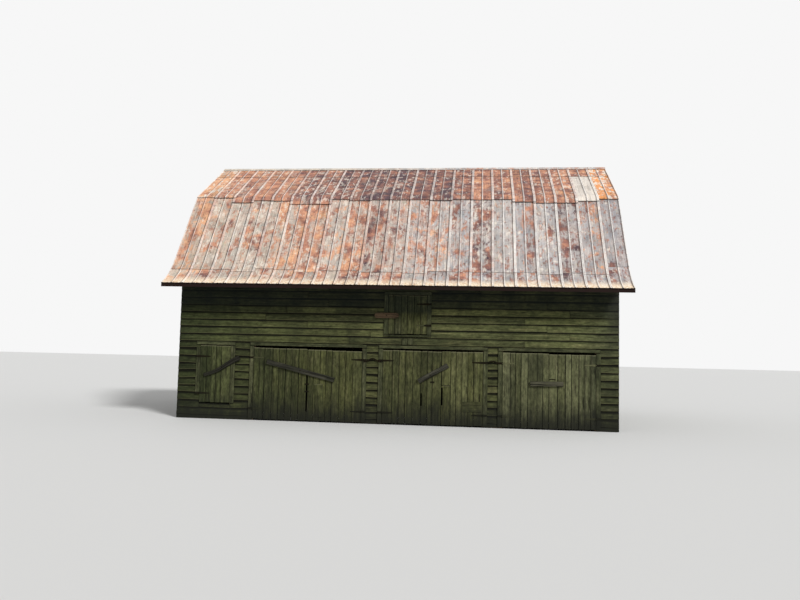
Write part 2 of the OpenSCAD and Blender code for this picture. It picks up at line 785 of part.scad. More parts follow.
front_wall_piers();
front_wall_upper();
small_door_apron();
back_wall();
left_wall();
right_wall();
door_trims();
fixed_ironwork();
loft_door();
posts_and_studs();
sills();
plates_and_girts();
middle_beam();
loft_joists();
loft_floor();
lower_rafters();
upper_rafters();
purlins_and_ridge_board();
front_flare_roof();
front_lower_roof();
front_upper_roof();
back_flare_roof();
back_lower_roof();
back_upper_roof();
ridge_cap();
eave_boards();
small_door();
small_door_iron();
small_door_bar();
door_1_left();
door_1_left_iron();
door_1_right();
door_1_right_iron();
door_1_bar();
door_2_left();
door_2_left_iron();
door_2_right();
door_2_right_iron();
door_2_bar();
door_3_left();
door_3_left_iron();
door_3_right();
door_3_right_iron();
door_3_bar();
loft_button();
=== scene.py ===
import json
import math
import random

import bmesh
import bpy
from mathutils import Matrix, Vector

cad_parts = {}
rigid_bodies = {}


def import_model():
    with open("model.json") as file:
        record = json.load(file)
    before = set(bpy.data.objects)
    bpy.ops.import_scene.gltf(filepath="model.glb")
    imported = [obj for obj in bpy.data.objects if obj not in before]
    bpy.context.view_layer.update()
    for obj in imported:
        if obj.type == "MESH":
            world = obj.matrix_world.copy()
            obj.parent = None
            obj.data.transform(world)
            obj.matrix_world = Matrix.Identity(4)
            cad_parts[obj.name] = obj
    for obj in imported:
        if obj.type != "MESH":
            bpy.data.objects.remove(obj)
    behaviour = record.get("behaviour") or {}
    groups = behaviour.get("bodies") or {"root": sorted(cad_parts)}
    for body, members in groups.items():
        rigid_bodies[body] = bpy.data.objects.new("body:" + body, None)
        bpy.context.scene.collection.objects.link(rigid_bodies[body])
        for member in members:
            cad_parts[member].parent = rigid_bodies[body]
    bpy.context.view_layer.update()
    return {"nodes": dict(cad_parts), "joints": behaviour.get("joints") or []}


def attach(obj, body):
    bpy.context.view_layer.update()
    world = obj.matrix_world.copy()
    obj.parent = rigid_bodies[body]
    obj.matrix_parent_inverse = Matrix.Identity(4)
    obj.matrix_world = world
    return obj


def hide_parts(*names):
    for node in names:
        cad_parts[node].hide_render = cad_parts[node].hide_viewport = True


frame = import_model()
print("frame loaded:", len(frame["nodes"]), "nodes")

# Sizes taken over from the source, in metres and degrees
roof = {"length": 12.8, "eaveHeight": 3.78, "halfSpan": 4.6, "eavePitch": 25.5, "lowerPitch": 55.7,
        "upperPitch": 31.9, "flareRadius": 2.13, "lowerRun": 1.5, "rafterTop": 0.0281}
walls = {"length": 12.3, "depth": 7.5, "board": 0.03, "top": 4.2995, "trim": 0.025}
eaveAngle, lowerAngle, upperAngle = (math.radians(roof[part + "Pitch"]) for part in ("eave", "lower", "upper"))
frontY = -walls["depth"] / 2
trimY = frontY - walls["trim"]
doorHead = 2.1
loftOpening = (-0.125, 0.965, 2.48, 3.6)
smallOpening = (-5.495, -4.595, 0.44, doorHead)
doorways = {1: (-3.93, -0.82, 0.0, doorHead), 2: (-0.25, 2.53, 0.0, doorHead),
            3: (3.045, 5.545, 0.0, doorHead)}
openings = [smallOpening, *doorways.values(), loftOpening]


def newObject(name, data):
    obj = bpy.data.objects.new(name, data)
    bpy.context.scene.collection.objects.link(obj)
    return obj


# Camera at the photograph's viewing angle
view = {"place": (2.36, -23.66, 2.03), "lens": 32.4, "sensor": 36, "reach": 500,
        "turn": 6.21, "tilt": 4.06, "roll": 1.31}


def makeCamera():
    data = bpy.data.cameras.new("camera")
    data.lens = view["lens"]
    data.sensor_width = view["sensor"]
    data.clip_end = view["reach"]
    camera = newObject("camera", data)
    place = Matrix.Translation(view["place"])
    for angle, axis in ((view["turn"], "Z"), (90 + view["tilt"], "X"), (view["roll"], "Z")):
        place = place @ Matrix.Rotation(math.radians(angle), 4, axis)
    camera.matrix_world = place
    bpy.context.scene.camera = camera


makeCamera()


# Node helpers: a wire is what a node puts out, and the others are shorthand for one kind of node each

class Wire:
    # Arithmetic on a wire adds a Math node, or a Vector Math node where it is a vector
    def __init__(self, socket):
        self.socket = socket
        self.tree = socket.id_data
        self.isVector = socket.type in ("VECTOR", "RGBA")

    def __add__(self, other):
        return combined("ADD", self, other)

    def __radd__(self, other):
        return combined("ADD", other, self)

    def __sub__(self, other):
        return combined("SUBTRACT", self, other)

    def __rsub__(self, other):
        return combined("SUBTRACT", other, self)

    def __mul__(self, other):
        return combined("MULTIPLY", self, other)

    def __truediv__(self, other):
        return combined("DIVIDE", self, other)


def setInputs(node, inputs):
    for key, value in inputs.items():
        if isinstance(value, Wire):
            value.tree.links.new(value.socket, node.inputs[key])
        else:
            node.inputs[key].default_value = value


def addNode(tree, kind, inputs=None, **settings):
    node = tree.nodes.new(kind)
    for name, value in settings.items():
        setattr(node, name, value)
    setInputs(node, inputs or {})
    return node


def nodeOut(tree, kind, inputs=None, output=0, **settings):
    return Wire(addNode(tree, kind, inputs, **settings).outputs[output])


def treeOf(*values):
    return next(value.tree for value in values if isinstance(value, Wire))


def calc(operation, a, b=0.0, clamp=False):
    return nodeOut(treeOf(a, b), "ShaderNodeMath", {0: a, 1: b}, operation=operation, use_clamp=clamp)


def combined(operation, a, b):
    vectors = [value.isVector if isinstance(value, Wire) else isinstance(value, tuple) for value in (a, b)]
    if not any(vectors):
        return calc(operation, a, b)
    if all(vectors):
        return nodeOut(treeOf(a, b), "ShaderNodeVectorMath", {0: a, 1: b}, operation=operation)
    return nodeOut(a.tree, "ShaderNodeVectorMath", {0: a, "Scale": b}, operation="SCALE")


def joinXYZ(x=0.0, y=0.0, z=0.0):
    return nodeOut(treeOf(x, y, z), "ShaderNodeCombineXYZ", {0: x, 1: y, 2: z})


def splitXYZ(vector):
    return [Wire(socket) for socket in addNode(vector.tree, "ShaderNodeSeparateXYZ", {0: vector}).outputs]


def noiseOf(vector, scale, detail=3.0, roughness=0.5, distortion=0.0):
    return nodeOut(vector.tree, "ShaderNodeTexNoise", {"Vector": vector, "Scale": scale, "Detail": detail,
                                                       "Roughness": roughness, "Distortion": distortion})


def between(value, low, high, toLow=0.0, toHigh=1.0, smooth=False):
    return nodeOut(value.tree, "ShaderNodeMapRange", {0: value, 1: low, 2: high, 3: toLow, 4: toHigh},
                   interpolation_type="SMOOTHSTEP" if smooth else "LINEAR")


def linear(red, green, blue):
    # 0 to 255 as seen on a screen, turned to Blender's linear values
    return tuple(v / 12.92 if v <= 0.04045 else ((v + 0.055) / 1.055) ** 2.4
                 for v in (red / 255, green / 255, blue / 255)) + (1.0,)


def mixColour(factor, a, b, blend="MIX"):
    # a and b are wires, or colours as seen on a screen
    a, b = (value if isinstance(value, Wire) else linear(*value) for value in (a, b))
    return nodeOut(treeOf(factor, a, b), "ShaderNodeMix", {0: factor, 6: a, 7: b}, output=2, data_type="RGBA",
                   blend_type=blend, clamp_factor=True)


def tinted(colour, tint):
    return mixColour(1.0, colour, tint, "MULTIPLY")


def covered(colour, share, paint):
    # A share of 0 leaves the colour as it is, and 1 covers it with the paint
    return mixColour(share, colour, paint)


def rampOf(value, stops):
    node = addNode(value.tree, "ShaderNodeValToRGB", {0: value})
    elements = node.color_ramp.elements
    while len(elements) < len(stops):
        elements.new(0.5)
    for element, (place, colour) in zip(elements, stops):
        element.position = place
        element.color = linear(*colour)
    return Wire(node.outputs[0])


def makeGroup(name, kind, inputs, outputs):
    # Each socket is given with its kind, or with the number it starts from
    tree = bpy.data.node_groups.new(name, kind + "NodeTree")
    for way, sockets in (("INPUT", inputs), ("OUTPUT", outputs)):
        for label, value in sockets.items():
            socketKind = {int: "Int", float: "Float"}.get(type(value), value)
            item = tree.interface.new_socket(name=label, in_out=way, socket_type="NodeSocket" + socketKind)
            if socketKind != value:
                item.default_value = value
    given = tree.nodes.new("NodeGroupInput").outputs
    return tree, {label: Wire(given[label]) for label in inputs}


def groupOut(group, **inputs):
    node = addNode(inputs["Vector"].tree, "ShaderNodeGroup", inputs, node_tree=group)
    return [Wire(socket) for socket in node.outputs]


# Shader groups

def makeGrainGroup():
    # Wood grain along X: fine lines, open checks and their height
    tree, given = makeGroup("woodGrain", "Shader", {"Vector": "Vector", "Fineness": 1.0, "Checks": 0.5},
                            {"Lines": "Float", "Checks": "Float", "Height": "Float"})
    flow = given["Vector"] * (0.9, 1.0, 1.0)
    flow = flow + nodeOut(tree, "ShaderNodeTexNoise", {"Vector": flow, "Scale": 1.7}, output=1) * 0.05
    fine = noiseOf(flow * given["Fineness"] * (1.6, 60.0, 60.0), 1.0, 6.0, 0.65)
    broad = noiseOf(flow * (0.55, 19.0, 19.0), 1.0, 4.0, 0.6, 0.5)
    lines = fine * 0.42 + broad * 0.58
    split = noiseOf(flow * (1.1, 34.0, 34.0), 1.0, 2.0, 0.5, 0.3)
    limit = between(given["Checks"], 0.0, 1.0, 0.80, 0.56)
    checks = between(split, limit, limit + 0.05, smooth=True)
    addNode(tree, "NodeGroupOutput",
            {"Lines": between(lines, 0.36, 0.64), "Checks": checks, "Height": lines - checks * 0.8})
    return tree


def makePatchGroup():
    # Irregular patches: Amount is the share covered, Edge how soft their outline is
    tree, given = makeGroup("patches", "Shader",
                            {"Vector": "Vector", "Scale": 3.0, "Amount": 0.3, "Edge": 0.08}, {"Mask": "Float"})
    noise = noiseOf(given["Vector"], given["Scale"], 9.0, 0.62, 0.25)
    limit = between(given["Amount"], 0.0, 1.0, 0.72, 0.28)
    mask = between(noise, limit - given["Edge"], limit + given["Edge"], smooth=True)
    addNode(tree, "NodeGroupOutput", {"Mask": mask})
    return tree


def makeFootDarkGroup():
    # Darker towards the foot, up to the given height
    tree, given = makeGroup("darkerToFoot", "Shader", {"Vector": "Vector", "Height": 0.5}, {"Mask": "Float"})
    uneven = noiseOf(given["Vector"] * (5.0, 5.0, 1.2), 1.0, 5.0, 0.6)
    reach = splitXYZ(given["Vector"])[2] / given["Height"] + (uneven - 0.5) * 1.3
    addNode(tree, "NodeGroupOutput", {"Mask": between(reach, 0.05, 1.15, 1.0, 0.0, smooth=True)})
    return tree


grainGroup, patchGroup, footDarkGroup = makeGrainGroup(), makePatchGroup(), makeFootDarkGroup()


def grainOn(place, checks, fineness=1.0):
    # Gives the lines, the checks and the height
    return groupOut(grainGroup, Vector=place, Checks=checks, Fineness=fineness)


def patchesOn(place, scale, amount, edge):
    return groupOut(patchGroup, Vector=place, Scale=scale, Amount=amount, Edge=edge)[0]


def footDarkOn(place, height):
    return groupOut(footDarkGroup, Vector=place, Height=height)[0]


def attribute(tree, name, output="Fac"):
    return nodeOut(tree, "ShaderNodeAttribute", output=output, attribute_name=name)


def newMaterial(name):
    material = bpy.data.materials.new(name)
    material.use_nodes = True
    return material, material.node_tree


def objectPlace(tree):
    return nodeOut(tree, "ShaderNodeTexCoord", output="Object")


def finish(material, colour, roughness, height, strength, distance, specular=0.5, metallic=0.0):
    # Wires the look to the material's own shader, with its height as a bump
    bump = {"Strength": strength, "Distance": distance, "Height": height}
    setInputs(material.node_tree.nodes["Principled BSDF"],
              {"Base Color": colour, "Roughness": roughness, "Specular IOR Level": specular,
               "Metallic": metallic, "Normal": nodeOut(colour.tree, "ShaderNodeBump", bump)})
    return material


# Weathered wood. stops is the tone ramp, bare the wood that shows through on bareShare of it, streaks how dark
# and pale the grain goes, checks how open it is, and the darkening towards the foot how high it reaches
plainWood = {"bareShare": 0.3, "streaks": (0.42, 1.5), "checks": 0.6, "footDark": 0.02}
# Of the front's boards, the wall boards darken under each overlap with painted shade, carry painted shade of
# trees at the left end and painted light above the doors; door and trim boards carry painted shade of the eave
# at their tops
woodLooks = {
    "weatherboards": {
        "stops": [(0.0, (50, 53, 36)), (0.4, (69, 72, 46)), (0.75, (83, 86, 54)), (1.0, (93, 91, 63))],
        "bare": (98, 95, 66), "checks": 0.5, "footDark": 0.7, "streaks": (0.62, 1.32), "mottle": 0.45,
        "lapShade": 0.97, "leftEndShade": 0.7, "litAboveDoors": (0.2, 0.76)},
    "doorBoards": {
        "stops": [(0.0, (52, 55, 36)), (0.35, (69, 72, 44)), (0.7, (86, 88, 55)), (1.0, (101, 103, 68))],
        "bare": (98, 95, 68), "bareShare": 0.36, "footDark": 0.8, "streaks": (0.62, 1.32), "mottle": 0.5,
        "leftEndShade": 1.0, "faded": 0.12, "seam": 0.7, "eaveShadow": 0.56, "wornTop": 0.55},
    "trimBoards": {
        "stops": [(0.0, (50, 53, 35)), (0.5, (66, 69, 46)), (1.0, (82, 83, 57))],
        "bare": (98, 96, 72), "bareShare": 0.36, "footDark": 0.7, "streaks": (0.62, 1.32), "mottle": 0.5,
        "seam": 0.62, "eaveShadow": 0.56},
    "barWood": {
        "stops": [(0.0, (38, 36, 31)), (0.5, (58, 57, 49)), (1.0, (84, 82, 66))],
        "bare": (92, 90, 74), "checks": 1.0},
    "buttonPaint": {
        "stops": [(0.0, (59, 47, 34)), (0.5, (74, 59, 44)), (1.0, (86, 69, 51))],
        "bare": (76, 70, 52), "checks": 0.7},
    "loftBoards": {
        "stops": [(0.0, (84, 70, 52)), (0.5, (104, 88, 66)), (1.0, (124, 106, 80))],
        "bare": (112, 104, 90), "checks": 0.4},
}
# The left end is darker and greener with painted shade of the trees over it, the right end has dried out paler
zoneTintsAndShade = [(0.0, (196, 209, 202)), (0.1, (210, 217, 206)), (0.3, (232, 232, 222)), (0.6, (250, 248, 240)),
             (0.9, (254, 254, 247)), (0.98, (238, 240, 248))]


def aboveDoors(z):
    return between(z, doorHead - 0.1, doorHead + 0.3, smooth=True)


def alongFront(colour, look, tone, x, z):
    # What changes from one end of the front to the other, painted shade at the left end and painted light
    # above the doors among it
    side = between(x, -walls["length"] / 2, walls["length"] / 2)
    colour = tinted(colour, rampOf(side, zoneTintsAndShade))
    # Painted shade of trees darkens the left end
    colour = tinted(colour, between(side, 0.02, 0.08, look["leftEndShade"], 1.0))
    if "faded" in look:
        # Each board has kept its own share of green, and those at the right end have kept least
        ownGreen = noiseOf(joinXYZ(tone * 57.0), 1.0, 2.0)
        green = between(ownGreen, 0.3, 0.7, 1.06, 0.88) - between(side, 0.7, 0.76, 0.0, look["faded"])
        colour = nodeOut(colour.tree, "ShaderNodeHueSaturation", {"Saturation": green, "Color": colour})
    if "litAboveDoors" in look:
        # Painted light: the boards above the doors are made paler than the ones between them, more so towards
        # the right end
        colour = tinted(colour, 1.0 + between(side, 0.0, 1.0, *look["litAboveDoors"]) * aboveDoors(z))
    return colour


def lapShadeAndWear(colour, look, place, up, mould, world):
    # An overlapped board is darkened with painted shade where the one above overhangs it, and is pale along
    # its lower edge with wear and a painted highlight
    x, y, z = world
    level = up + (noiseOf(place, 2.3, 3.0) - 0.5) * 0.16 - aboveDoors(z) * 0.07
    colour = covered(colour, between(level, 0.0, 0.25, 0.0, look["lapShade"], smooth=True), (11, 11, 5))
    colour = covered(colour, between(up, -0.38, -0.47, 0.0, 0.35), look["bare"])
    # Painted shade of the eave over the top rows, a little stronger where mould lies
    damp = attribute(colour.tree, "damp")
    colour = covered(colour, damp * between(mould, 0.0, 1.0, 0.8, 1.0), (24, 29, 27))
    # The corner under the roof's right end is darker from 2.2 m upwards
    corner = walls["length"] / 2
    run = (between(x, corner - 0.42, corner - 0.06, 0.0, 0.62, smooth=True)
           * between(y, frontY + 0.1, frontY + 0.5, 1.0, 0.0))
    return covered(colour, run * between(z, 2.2, 3.1), (36, 36, 33))


def woodMaterial(name):
    look = {**plainWood, **woodLooks[name]}
    material, tree = newMaterial(name)
    place = attribute(tree, "grainPlace", "Vector")
    along, _, up = splitXYZ(attribute(tree, "place", "Vector"))
    tone = attribute(tree, "tone")
    world = objectPlace(tree)
    x, y, z = splitXYZ(world)
    lines, checks, height = grainOn(place, look["checks"])
    worn = patchesOn(place * (0.7, 5.0, 9.0), 2.2, look["bareShare"], 0.07)
    mould = patchesOn(world * (1.0, 1.0, 0.7), 1.3, 0.42, 0.14)
    colour = covered(rampOf(tone, look["stops"]), worn * 0.5, look["bare"])
    if "leftEndShade" in look:
        colour = alongFront(colour, look, tone, x, z)
    colour = tinted(colour, between(lines, 0.1, 0.9, *look["streaks"]))
    if "mottle" in look:
        # Paint has come off in scales a few hands long
        scales = noiseOf(place * (0.8, 2.0, 2.0), 8.0, 5.0, 0.66)
        colour = tinted(colour, between(scales, 0.32, 0.68, 1.0 - look["mottle"], 1.0 + look["mottle"]))
    if "seam" in look:
        opened = noiseOf(place * (2.2, 0.0, 0.0), 1.0, 3.0)
        seam = between(calc("ABSOLUTE", up), 0.43, 0.49, 0.0, look["seam"], smooth=True)
        colour = covered(colour, seam * between(opened, 0.35, 0.6, 0.35, 1.0), (20, 21, 12))
    colour = covered(colour, mould * 0.5, (32, 36, 24))
    if "lapShade" in look:
        colour = lapShadeAndWear(colour, look, place, up, mould, (x, y, z))
    if "eaveShadow" in look:
        # Painted shade of the eave darkens the wood above 3 m
        colour = covered(colour, between(z, 3.0, 3.16, 0.0, look["eaveShadow"], smooth=True), (31, 38, 33))
    if "wornTop" in look:
        colour = covered(colour, between(along, 0.482, 0.492, 0.0, look["wornTop"]), (112, 110, 86))
        ends = between(along, -0.49, -0.5, 0.0, 0.5)
    else:
        ends = between(calc("ABSOLUTE", along), 0.488, 0.5, 0.0, 0.3 if "lapShade" in look else 0.6)
    colour = covered(colour, ends, (24, 22, 16))
    colour = covered(colour, checks * 0.85, (13, 13, 6))
    colour = covered(colour, footDarkOn(world, look["footDark"]) * 0.92, (30, 31, 26))
    return finish(material, colour, between(lines, 0.0, 1.0, 0.95, 0.8), height, 0.7, 0.008, 0.12)


def timberMaterial(axis):
    # Sawn frame timber of a CAD node, with its grain along one axis
    material, tree = newMaterial("timberAlong" + axis)
    world = objectPlace(tree)
    x, y, z = splitXYZ(world)
    along, side, other = {"X": (x, y, z), "Y": (y, x, z), "Z": (z, x, y)}[axis]
    cell = calc("SNAP", side, 0.31) + calc("SNAP", other, 0.27)
    tone = noiseOf(joinXYZ(cell, calc("SNAP", along, 2.9)), 3.1, 0.0)
    lines, checks, height = grainOn(joinXYZ(along, side, other), 0.45, 0.8)
    colour = rampOf(tone, [(0.3, (78, 64, 48)), (0.5, (98, 82, 62)), (0.7, (118, 100, 76))])
    colour = tinted(colour, between(lines, 0.1, 0.9, 0.7, 1.2))
    colour = covered(colour, patchesOn(world, 1.6, 0.35, 0.15) * 0.5, (58, 50, 40))
    colour = covered(colour, checks * 0.7, (26, 21, 16))
    return finish(material, colour, between(lines, 0.0, 1.0, 0.95, 0.82), height, 0.5, 0.005, 0.2)


ironLook = {"dark": (13, 13, 7), "rust": (26, 22, 12), "orange": (42, 34, 20)}
paleLook = {"dark": (74, 76, 52), "rust": (94, 94, 68), "orange": (106, 102, 74)}
nailLook = {"dark": (70, 56, 48), "rust": (104, 74, 56), "orange": (140, 96, 66)}


def ironMaterial(name, look, paleTo=None, paleBand=(-1.0, 9.0)):
    # With paleTo, the zinc has lasted on the iron left of that place, between the band's heights
    material, tree = newMaterial(name)
    place = objectPlace(tree)
    rust = patchesOn(place, 16.0, 0.62, 0.12)
    bloom = patchesOn(place, 42.0, 0.3, 0.08)
    colour = covered(mixColour(rust, look["dark"], look["rust"]), bloom * 0.7, look["orange"])
    if paleTo is not None:
        x, _, z = splitXYZ(place)
        inBand = calc("GREATER_THAN", z, paleBand[0]) * calc("LESS_THAN", z, paleBand[1])
        spared = between(x, paleTo - 0.02, paleTo + 0.02, 0.7, 0.0) * inBand
        colour = covered(colour, spared, paleLook["dark"])
    colour = covered(colour, footDarkOn(place, 1.3) * 0.8, (30, 31, 24))
    height = rust + noiseOf(place, 180.0, 4.0) * 0.6
    return finish(material, colour, between(rust, 0.0, 1.0, 0.7, 0.95), height, 0.5, 0.0015, 0.08)


# The eave boards' paint and bare wood are given darker than they are: painted shade of the sheets over them
eaveShadedLook = {"paint": (34, 21, 18), "bare": (36, 30, 25)}


def eaveMaterial():
    material, tree = newMaterial("eavePaintShaded")
    place = objectPlace(tree)
    lines, checks, height = grainOn(place, 0.5)
    flaked = patchesOn(place * (0.5, 1.0, 2.5), 7.0, 0.34, 0.03)
    colour = tinted(eaveShadedLook["paint"], between(lines, 0.0, 1.0, 0.7, 1.15))
    colour = covered(colour, flaked, eaveShadedLook["bare"])
    colour = covered(colour, checks * 0.8, (24, 18, 16))
    roughness = between(flaked, 0.0, 1.0, 0.7, 0.95)
    return finish(material, colour, roughness, height - flaked * 0.5, 0.5, 0.004, 0.1)


sheet = {"count": 21, "thick": 0.0014, "crimpHeight": 0.014, "crimpWidth": 0.03, "pair": 0.042,
         "flange": 0.008, "crest": 0.009, "nail": 0.015, "nailGap": 0.42}
sheetWidth = roof["length"] / sheet["count"]

# Rusted galvanised sheets. rustStops runs from peach to purple-brown, bodyTints from the left end to the right
sheetLook = {"zinc": (208, 202, 198), "bluish": (178, 178, 181), "cream": (240, 229, 214),
             # The crest colours are pale with wear and a painted highlight; the colour of soiling also paints
             # shade
             "crest": (252, 246, 240), "cleanCrestHighlight": (255, 252, 247), "grimeAndShade": (40, 34, 36),
             "peach": (214, 189, 172), "brown": (78, 60, 54), "lichen": (184, 176, 146), "fleck": (84, 64, 60),
             "bleachedAndLit": (253, 240, 218), "ochre": (208, 162, 106), "fresh": (240, 162, 98),
             "bodyTints": [(0.0, (255, 246, 226)), (0.4, (255, 247, 232)), (0.58, (248, 248, 247)),
                           (1.0, (240, 238, 239))],
             "rustStops": [(0.0, (231, 177, 137)), (0.3, (206, 147, 118)), (0.62, (156, 108, 94)),
                           (1.0, (92, 72, 78))]}


def bleachedLitFoot(colour, place, small):
    # The last hand's breadth over the eave is pale, faded by the sun and with a painted highlight where the
    # flare catches it, and yellowed with rust spots
    x, s, _ = splitXYZ(place)
    edge = between(s + (noiseOf(place, 26.0, 3.0) - 0.5) * 0.3, 0.12, 0.42, 1.0, 0.0)
    colour = covered(colour, edge * between(small, 0.0, 1.0, 1.0, 0.5), sheetLook["bleachedAndLit"])
    spots = patchesOn(place * (1.0, 1.6, 1.0), 17.0, 0.46, 0.04)
    colour = covered(colour, edge * spots * 0.7, sheetLook["ochre"])
    notch = between(noiseOf(joinXYZ(x * 21.0), 1.0, 3.0), 0.5, 0.62, 0.0, 0.03)
    return covered(colour, calc("LESS_THAN", s, notch), sheetLook["grimeAndShade"])


def wornCrimps(colour, place, clean):
    # Crests are pale with wear and a painted highlight, and a dark line of soiling with painted shade lies
    # beside them
    crestWearAndHighlight, seam = attribute(colour.tree, "crestWearAndHighlight"), attribute(colour.tree, "seam")
    dull = between(noiseOf(place * (1.7, 0.6, 1.0), 1.0, 2.0), 0.35, 0.6, 1.0, 0.55)
    dull = calc("MAXIMUM", dull, clean * 0.92)
    crest = calc("MULTIPLY", crestWearAndHighlight, between(noiseOf(place, 6.0, 3.0), 0.3, 0.68, 1.0, 0.6), clamp=True)
    crest = calc("POWER", crest, between(clean, 0.0, 1.0, 1.4, 0.85)) * dull
    colour = covered(colour, crest, mixColour(clean, sheetLook["crest"], sheetLook["cleanCrestHighlight"]))
    # The dark line is soiling with painted shade on the crimp's side away from the light
    line = calc("MULTIPLY", seam, between(noiseOf(place, 4.0, 4.0), 0.35, 0.6, 1.0, 0.6), clamp=True)
    line = line * between(clean, 0.0, 1.0, 1.0, 0.9)
    return covered(colour, line, mixColour(clean, sheetLook["grimeAndShade"], sheetLook["brown"]))


def sheetMaterial(name, foot):
    material, tree = newMaterial(name)
    place = attribute(tree, "sheetPlace", "Vector")
    rust, shade, tone = (attribute(tree, label) for label in ("rust", "shade", "tone"))
    x, s, row = splitXYZ(place)
    # Each half of a sheet, between two crimps, has weathered on its own
    half = calc("FLOOR", x / (sheetWidth / 2))
    cell = joinXYZ(half, calc("FLOOR", row))
    own = nodeOut(tree, "ShaderNodeTexWhiteNoise", {"Vector": cell}, output="Color")
    ownTone, ownRust, ownHue = splitXYZ(own)
    rustHere = rust + between(ownRust, 0.0, 1.0, -0.07, 0.07)
    toRight = between(x, -roof["length"] / 2, roof["length"] / 2)
    clean = between(toRight, 0.5, 0.75)
    flow = place * (1.0, 0.55, 1.0)
    big = patchesOn(flow, 2.7, rustHere, 0.055)
    small = patchesOn(flow + (3.1, 7.7, 0.0), 7.5, rustHere * 0.85, 0.045)
    fleck = patchesOn(flow + (9.2, 1.3, 0.0), 17.0, 0.16 + rustHere * 0.16, 0.04)
    chips = patchesOn(flow + (2.2, 4.6, 0.0), 12.0, 0.16 + rustHere * 0.5, 0.05)
    chips = chips * between(clean, 0.0, 1.0, 0.35, 0.8)
    mask = calc("MAXIMUM", calc("MAXIMUM", big, small * 0.85), chips, clamp=True)
    grey = noiseOf(flow, 4.2, 5.0, 0.62) + ownTone * 0.24
    colour = mixColour(between(grey, 0.48, 0.74), sheetLook["zinc"], sheetLook["bluish"])
    colour = tinted(colour, between(tone + ownTone, 0.0, 2.0, 0.74, 1.16))
    # The left end has gone yellow, the right end is still grey
    colour = tinted(colour, rampOf(toRight, sheetLook["bodyTints"]))
    stain = patchesOn(flow, 5.2, rustHere + 0.16, 0.12)
    colour = covered(colour, stain * between(clean, 0.0, 1.0, 0.58, 0.22), sheetLook["peach"])
    lichen = patchesOn(flow + (1.7, 5.1, 0.0), 8.0, 0.2, 0.05)
    colour = covered(colour, lichen * 0.5, sheetLook["lichen"])
    # The rust's hue follows its shade; the purple-brown over the middle of the roof is partly painted shadow
    # of trees
    hue = shade + (noiseOf(flow * (0.8, 1.8, 1.0), 3.6, 5.0, 0.6) - 0.5) * 2.1
    hue = calc("ADD", hue, between(ownHue, 0.0, 1.0, -0.12, 0.12), clamp=True)
    # Only at the right end is the rust still bright orange
    fresh = between(toRight, 0.84, 0.94) * between(hue, 0.0, 0.16, 1.0, 0.0)
    colour = covered(colour, mask, covered(rampOf(hue, sheetLook["rustStops"]), fresh, sheetLook["fresh"]))
    colour = covered(colour, fleck * 0.6, sheetLook["fleck"])
    pale = patchesOn(flow + (6.6, 2.9, 0.0), 9.0, 0.2 + tone * 0.16, 0.05)
    pale = calc("MAXIMUM", pale * between(tone, 1.0, 1.15, 0.6, 0.9), between(tone, 1.25, 1.6, 0.0, 0.62))
    colour = covered(colour, pale, sheetLook["cream"])
    streaks = noiseOf(place * (46.0, 1.1, 1.0), 1.0, 3.0, 0.6)
    colour = tinted(colour, between(streaks, 0.34, 0.52, 0.66, 1.0))
    # Soot and leaf mould lie in soft blots and in thin drifts across the sheets
    blots = noiseOf(flow + (4.4, 8.1, 0.0), 3.0, 6.0, 0.62)
    colour = tinted(colour, between(blots, 0.3, 0.55, 0.72, 1.06))
    drift = noiseOf(place * (3.0, 17.0, 1.0), 1.0, 5.0, 0.66)
    colour = covered(colour, between(drift, 0.4, 0.3, 0.0, 0.55), sheetLook["fleck"])
    if foot:
        colour = bleachedLitFoot(colour, place, small)
    colour = wornCrimps(colour, place, clean)
    # Painted shade along a sheet's lower end, with some soiling: the dark line where it laps over the sheet
    # below
    fromFoot, shadedEnd, endShade = (attribute(tree, label) for label in ("fromFoot", "shadedEnd", "endShade"))
    colour = covered(colour, between(fromFoot, 0.0, shadedEnd, endShade, 0.0), sheetLook["grimeAndShade"])
    height = mask * 0.4 + noiseOf(flow, 9.0, 4.0) * 0.7
    return finish(material, colour, between(mask, 0.0, 1.0, 0.64, 0.92), height, 0.35, 0.006,
                  metallic=between(mask, 0.0, 1.0, 0.12, 0.0))


materials = {name: woodMaterial(name) for name in woodLooks}
materials.update({"timber" + axis: timberMaterial(axis) for axis in "XYZ"})
materials.update({
    "nails": ironMaterial("nailIron", nailLook), "iron": ironMaterial("rustedIron", ironLook),
    "paleIron": ironMaterial("paleIron", paleLook),
    "halfPaleIron": ironMaterial("halfPaleIron", ironLook, paleTo=-3.1),
    "fixedIron": ironMaterial("fixedIron", ironLook, paleTo=0.88, paleBand=(2.55, 3.0)),
    "eave": eaveMaterial(), "footSheets": sheetMaterial("footSheets", True),
    "roofSheets": sheetMaterial("roofSheets", False)})
print("materials built:", len(materials))


# Geometry trees. Each lays an instance on every point, and the points carry sizes and tones as attributes

def makeTree(name, inputs):
    return makeGroup(name, "Geometry", {"Geometry": "Geometry", **inputs, "Material": "Material"},
                     {"Geometry": "Geometry"})


def stored(tree, name, kind="FLOAT"):
    node = addNode(tree, "GeometryNodeInputNamedAttribute", {"Name": name}, data_type=kind)
    return Wire(next(s for s in node.outputs if s.enabled and s.name == "Attribute"))


def keep(geometry, name, value):
    node = addNode(geometry.tree, "GeometryNodeStoreNamedAttribute", {"Geometry": geometry, "Name": name},
                   data_type="FLOAT_VECTOR" if value.isVector else "FLOAT")
    geometry.tree.links.new(value.socket, next(s for s in node.inputs if s.enabled and s.name == "Value"))
    return Wire(node.outputs[0])


def onPoints(given, instance, inputs):
    tree = instance.tree
    points = nodeOut(tree, "GeometryNodeMeshToPoints", {"Mesh": given["Geometry"]})
    laid = nodeOut(tree, "GeometryNodeInstanceOnPoints", {"Points": points, "Instance": instance, **inputs})
    return nodeOut(tree, "GeometryNodeRealizeInstances", {"Geometry": laid})


def endTree(given, geometry):
    tree = geometry.tree
    made = nodeOut(tree, "GeometryNodeSetMaterial", {"Geometry": geometry, "Material": given["Material"]})
    addNode(tree, "NodeGroupOutput", {"Geometry": made})
    return tree


# A board lies along X, is thick along Y with its face towards -Y, and wide along Z

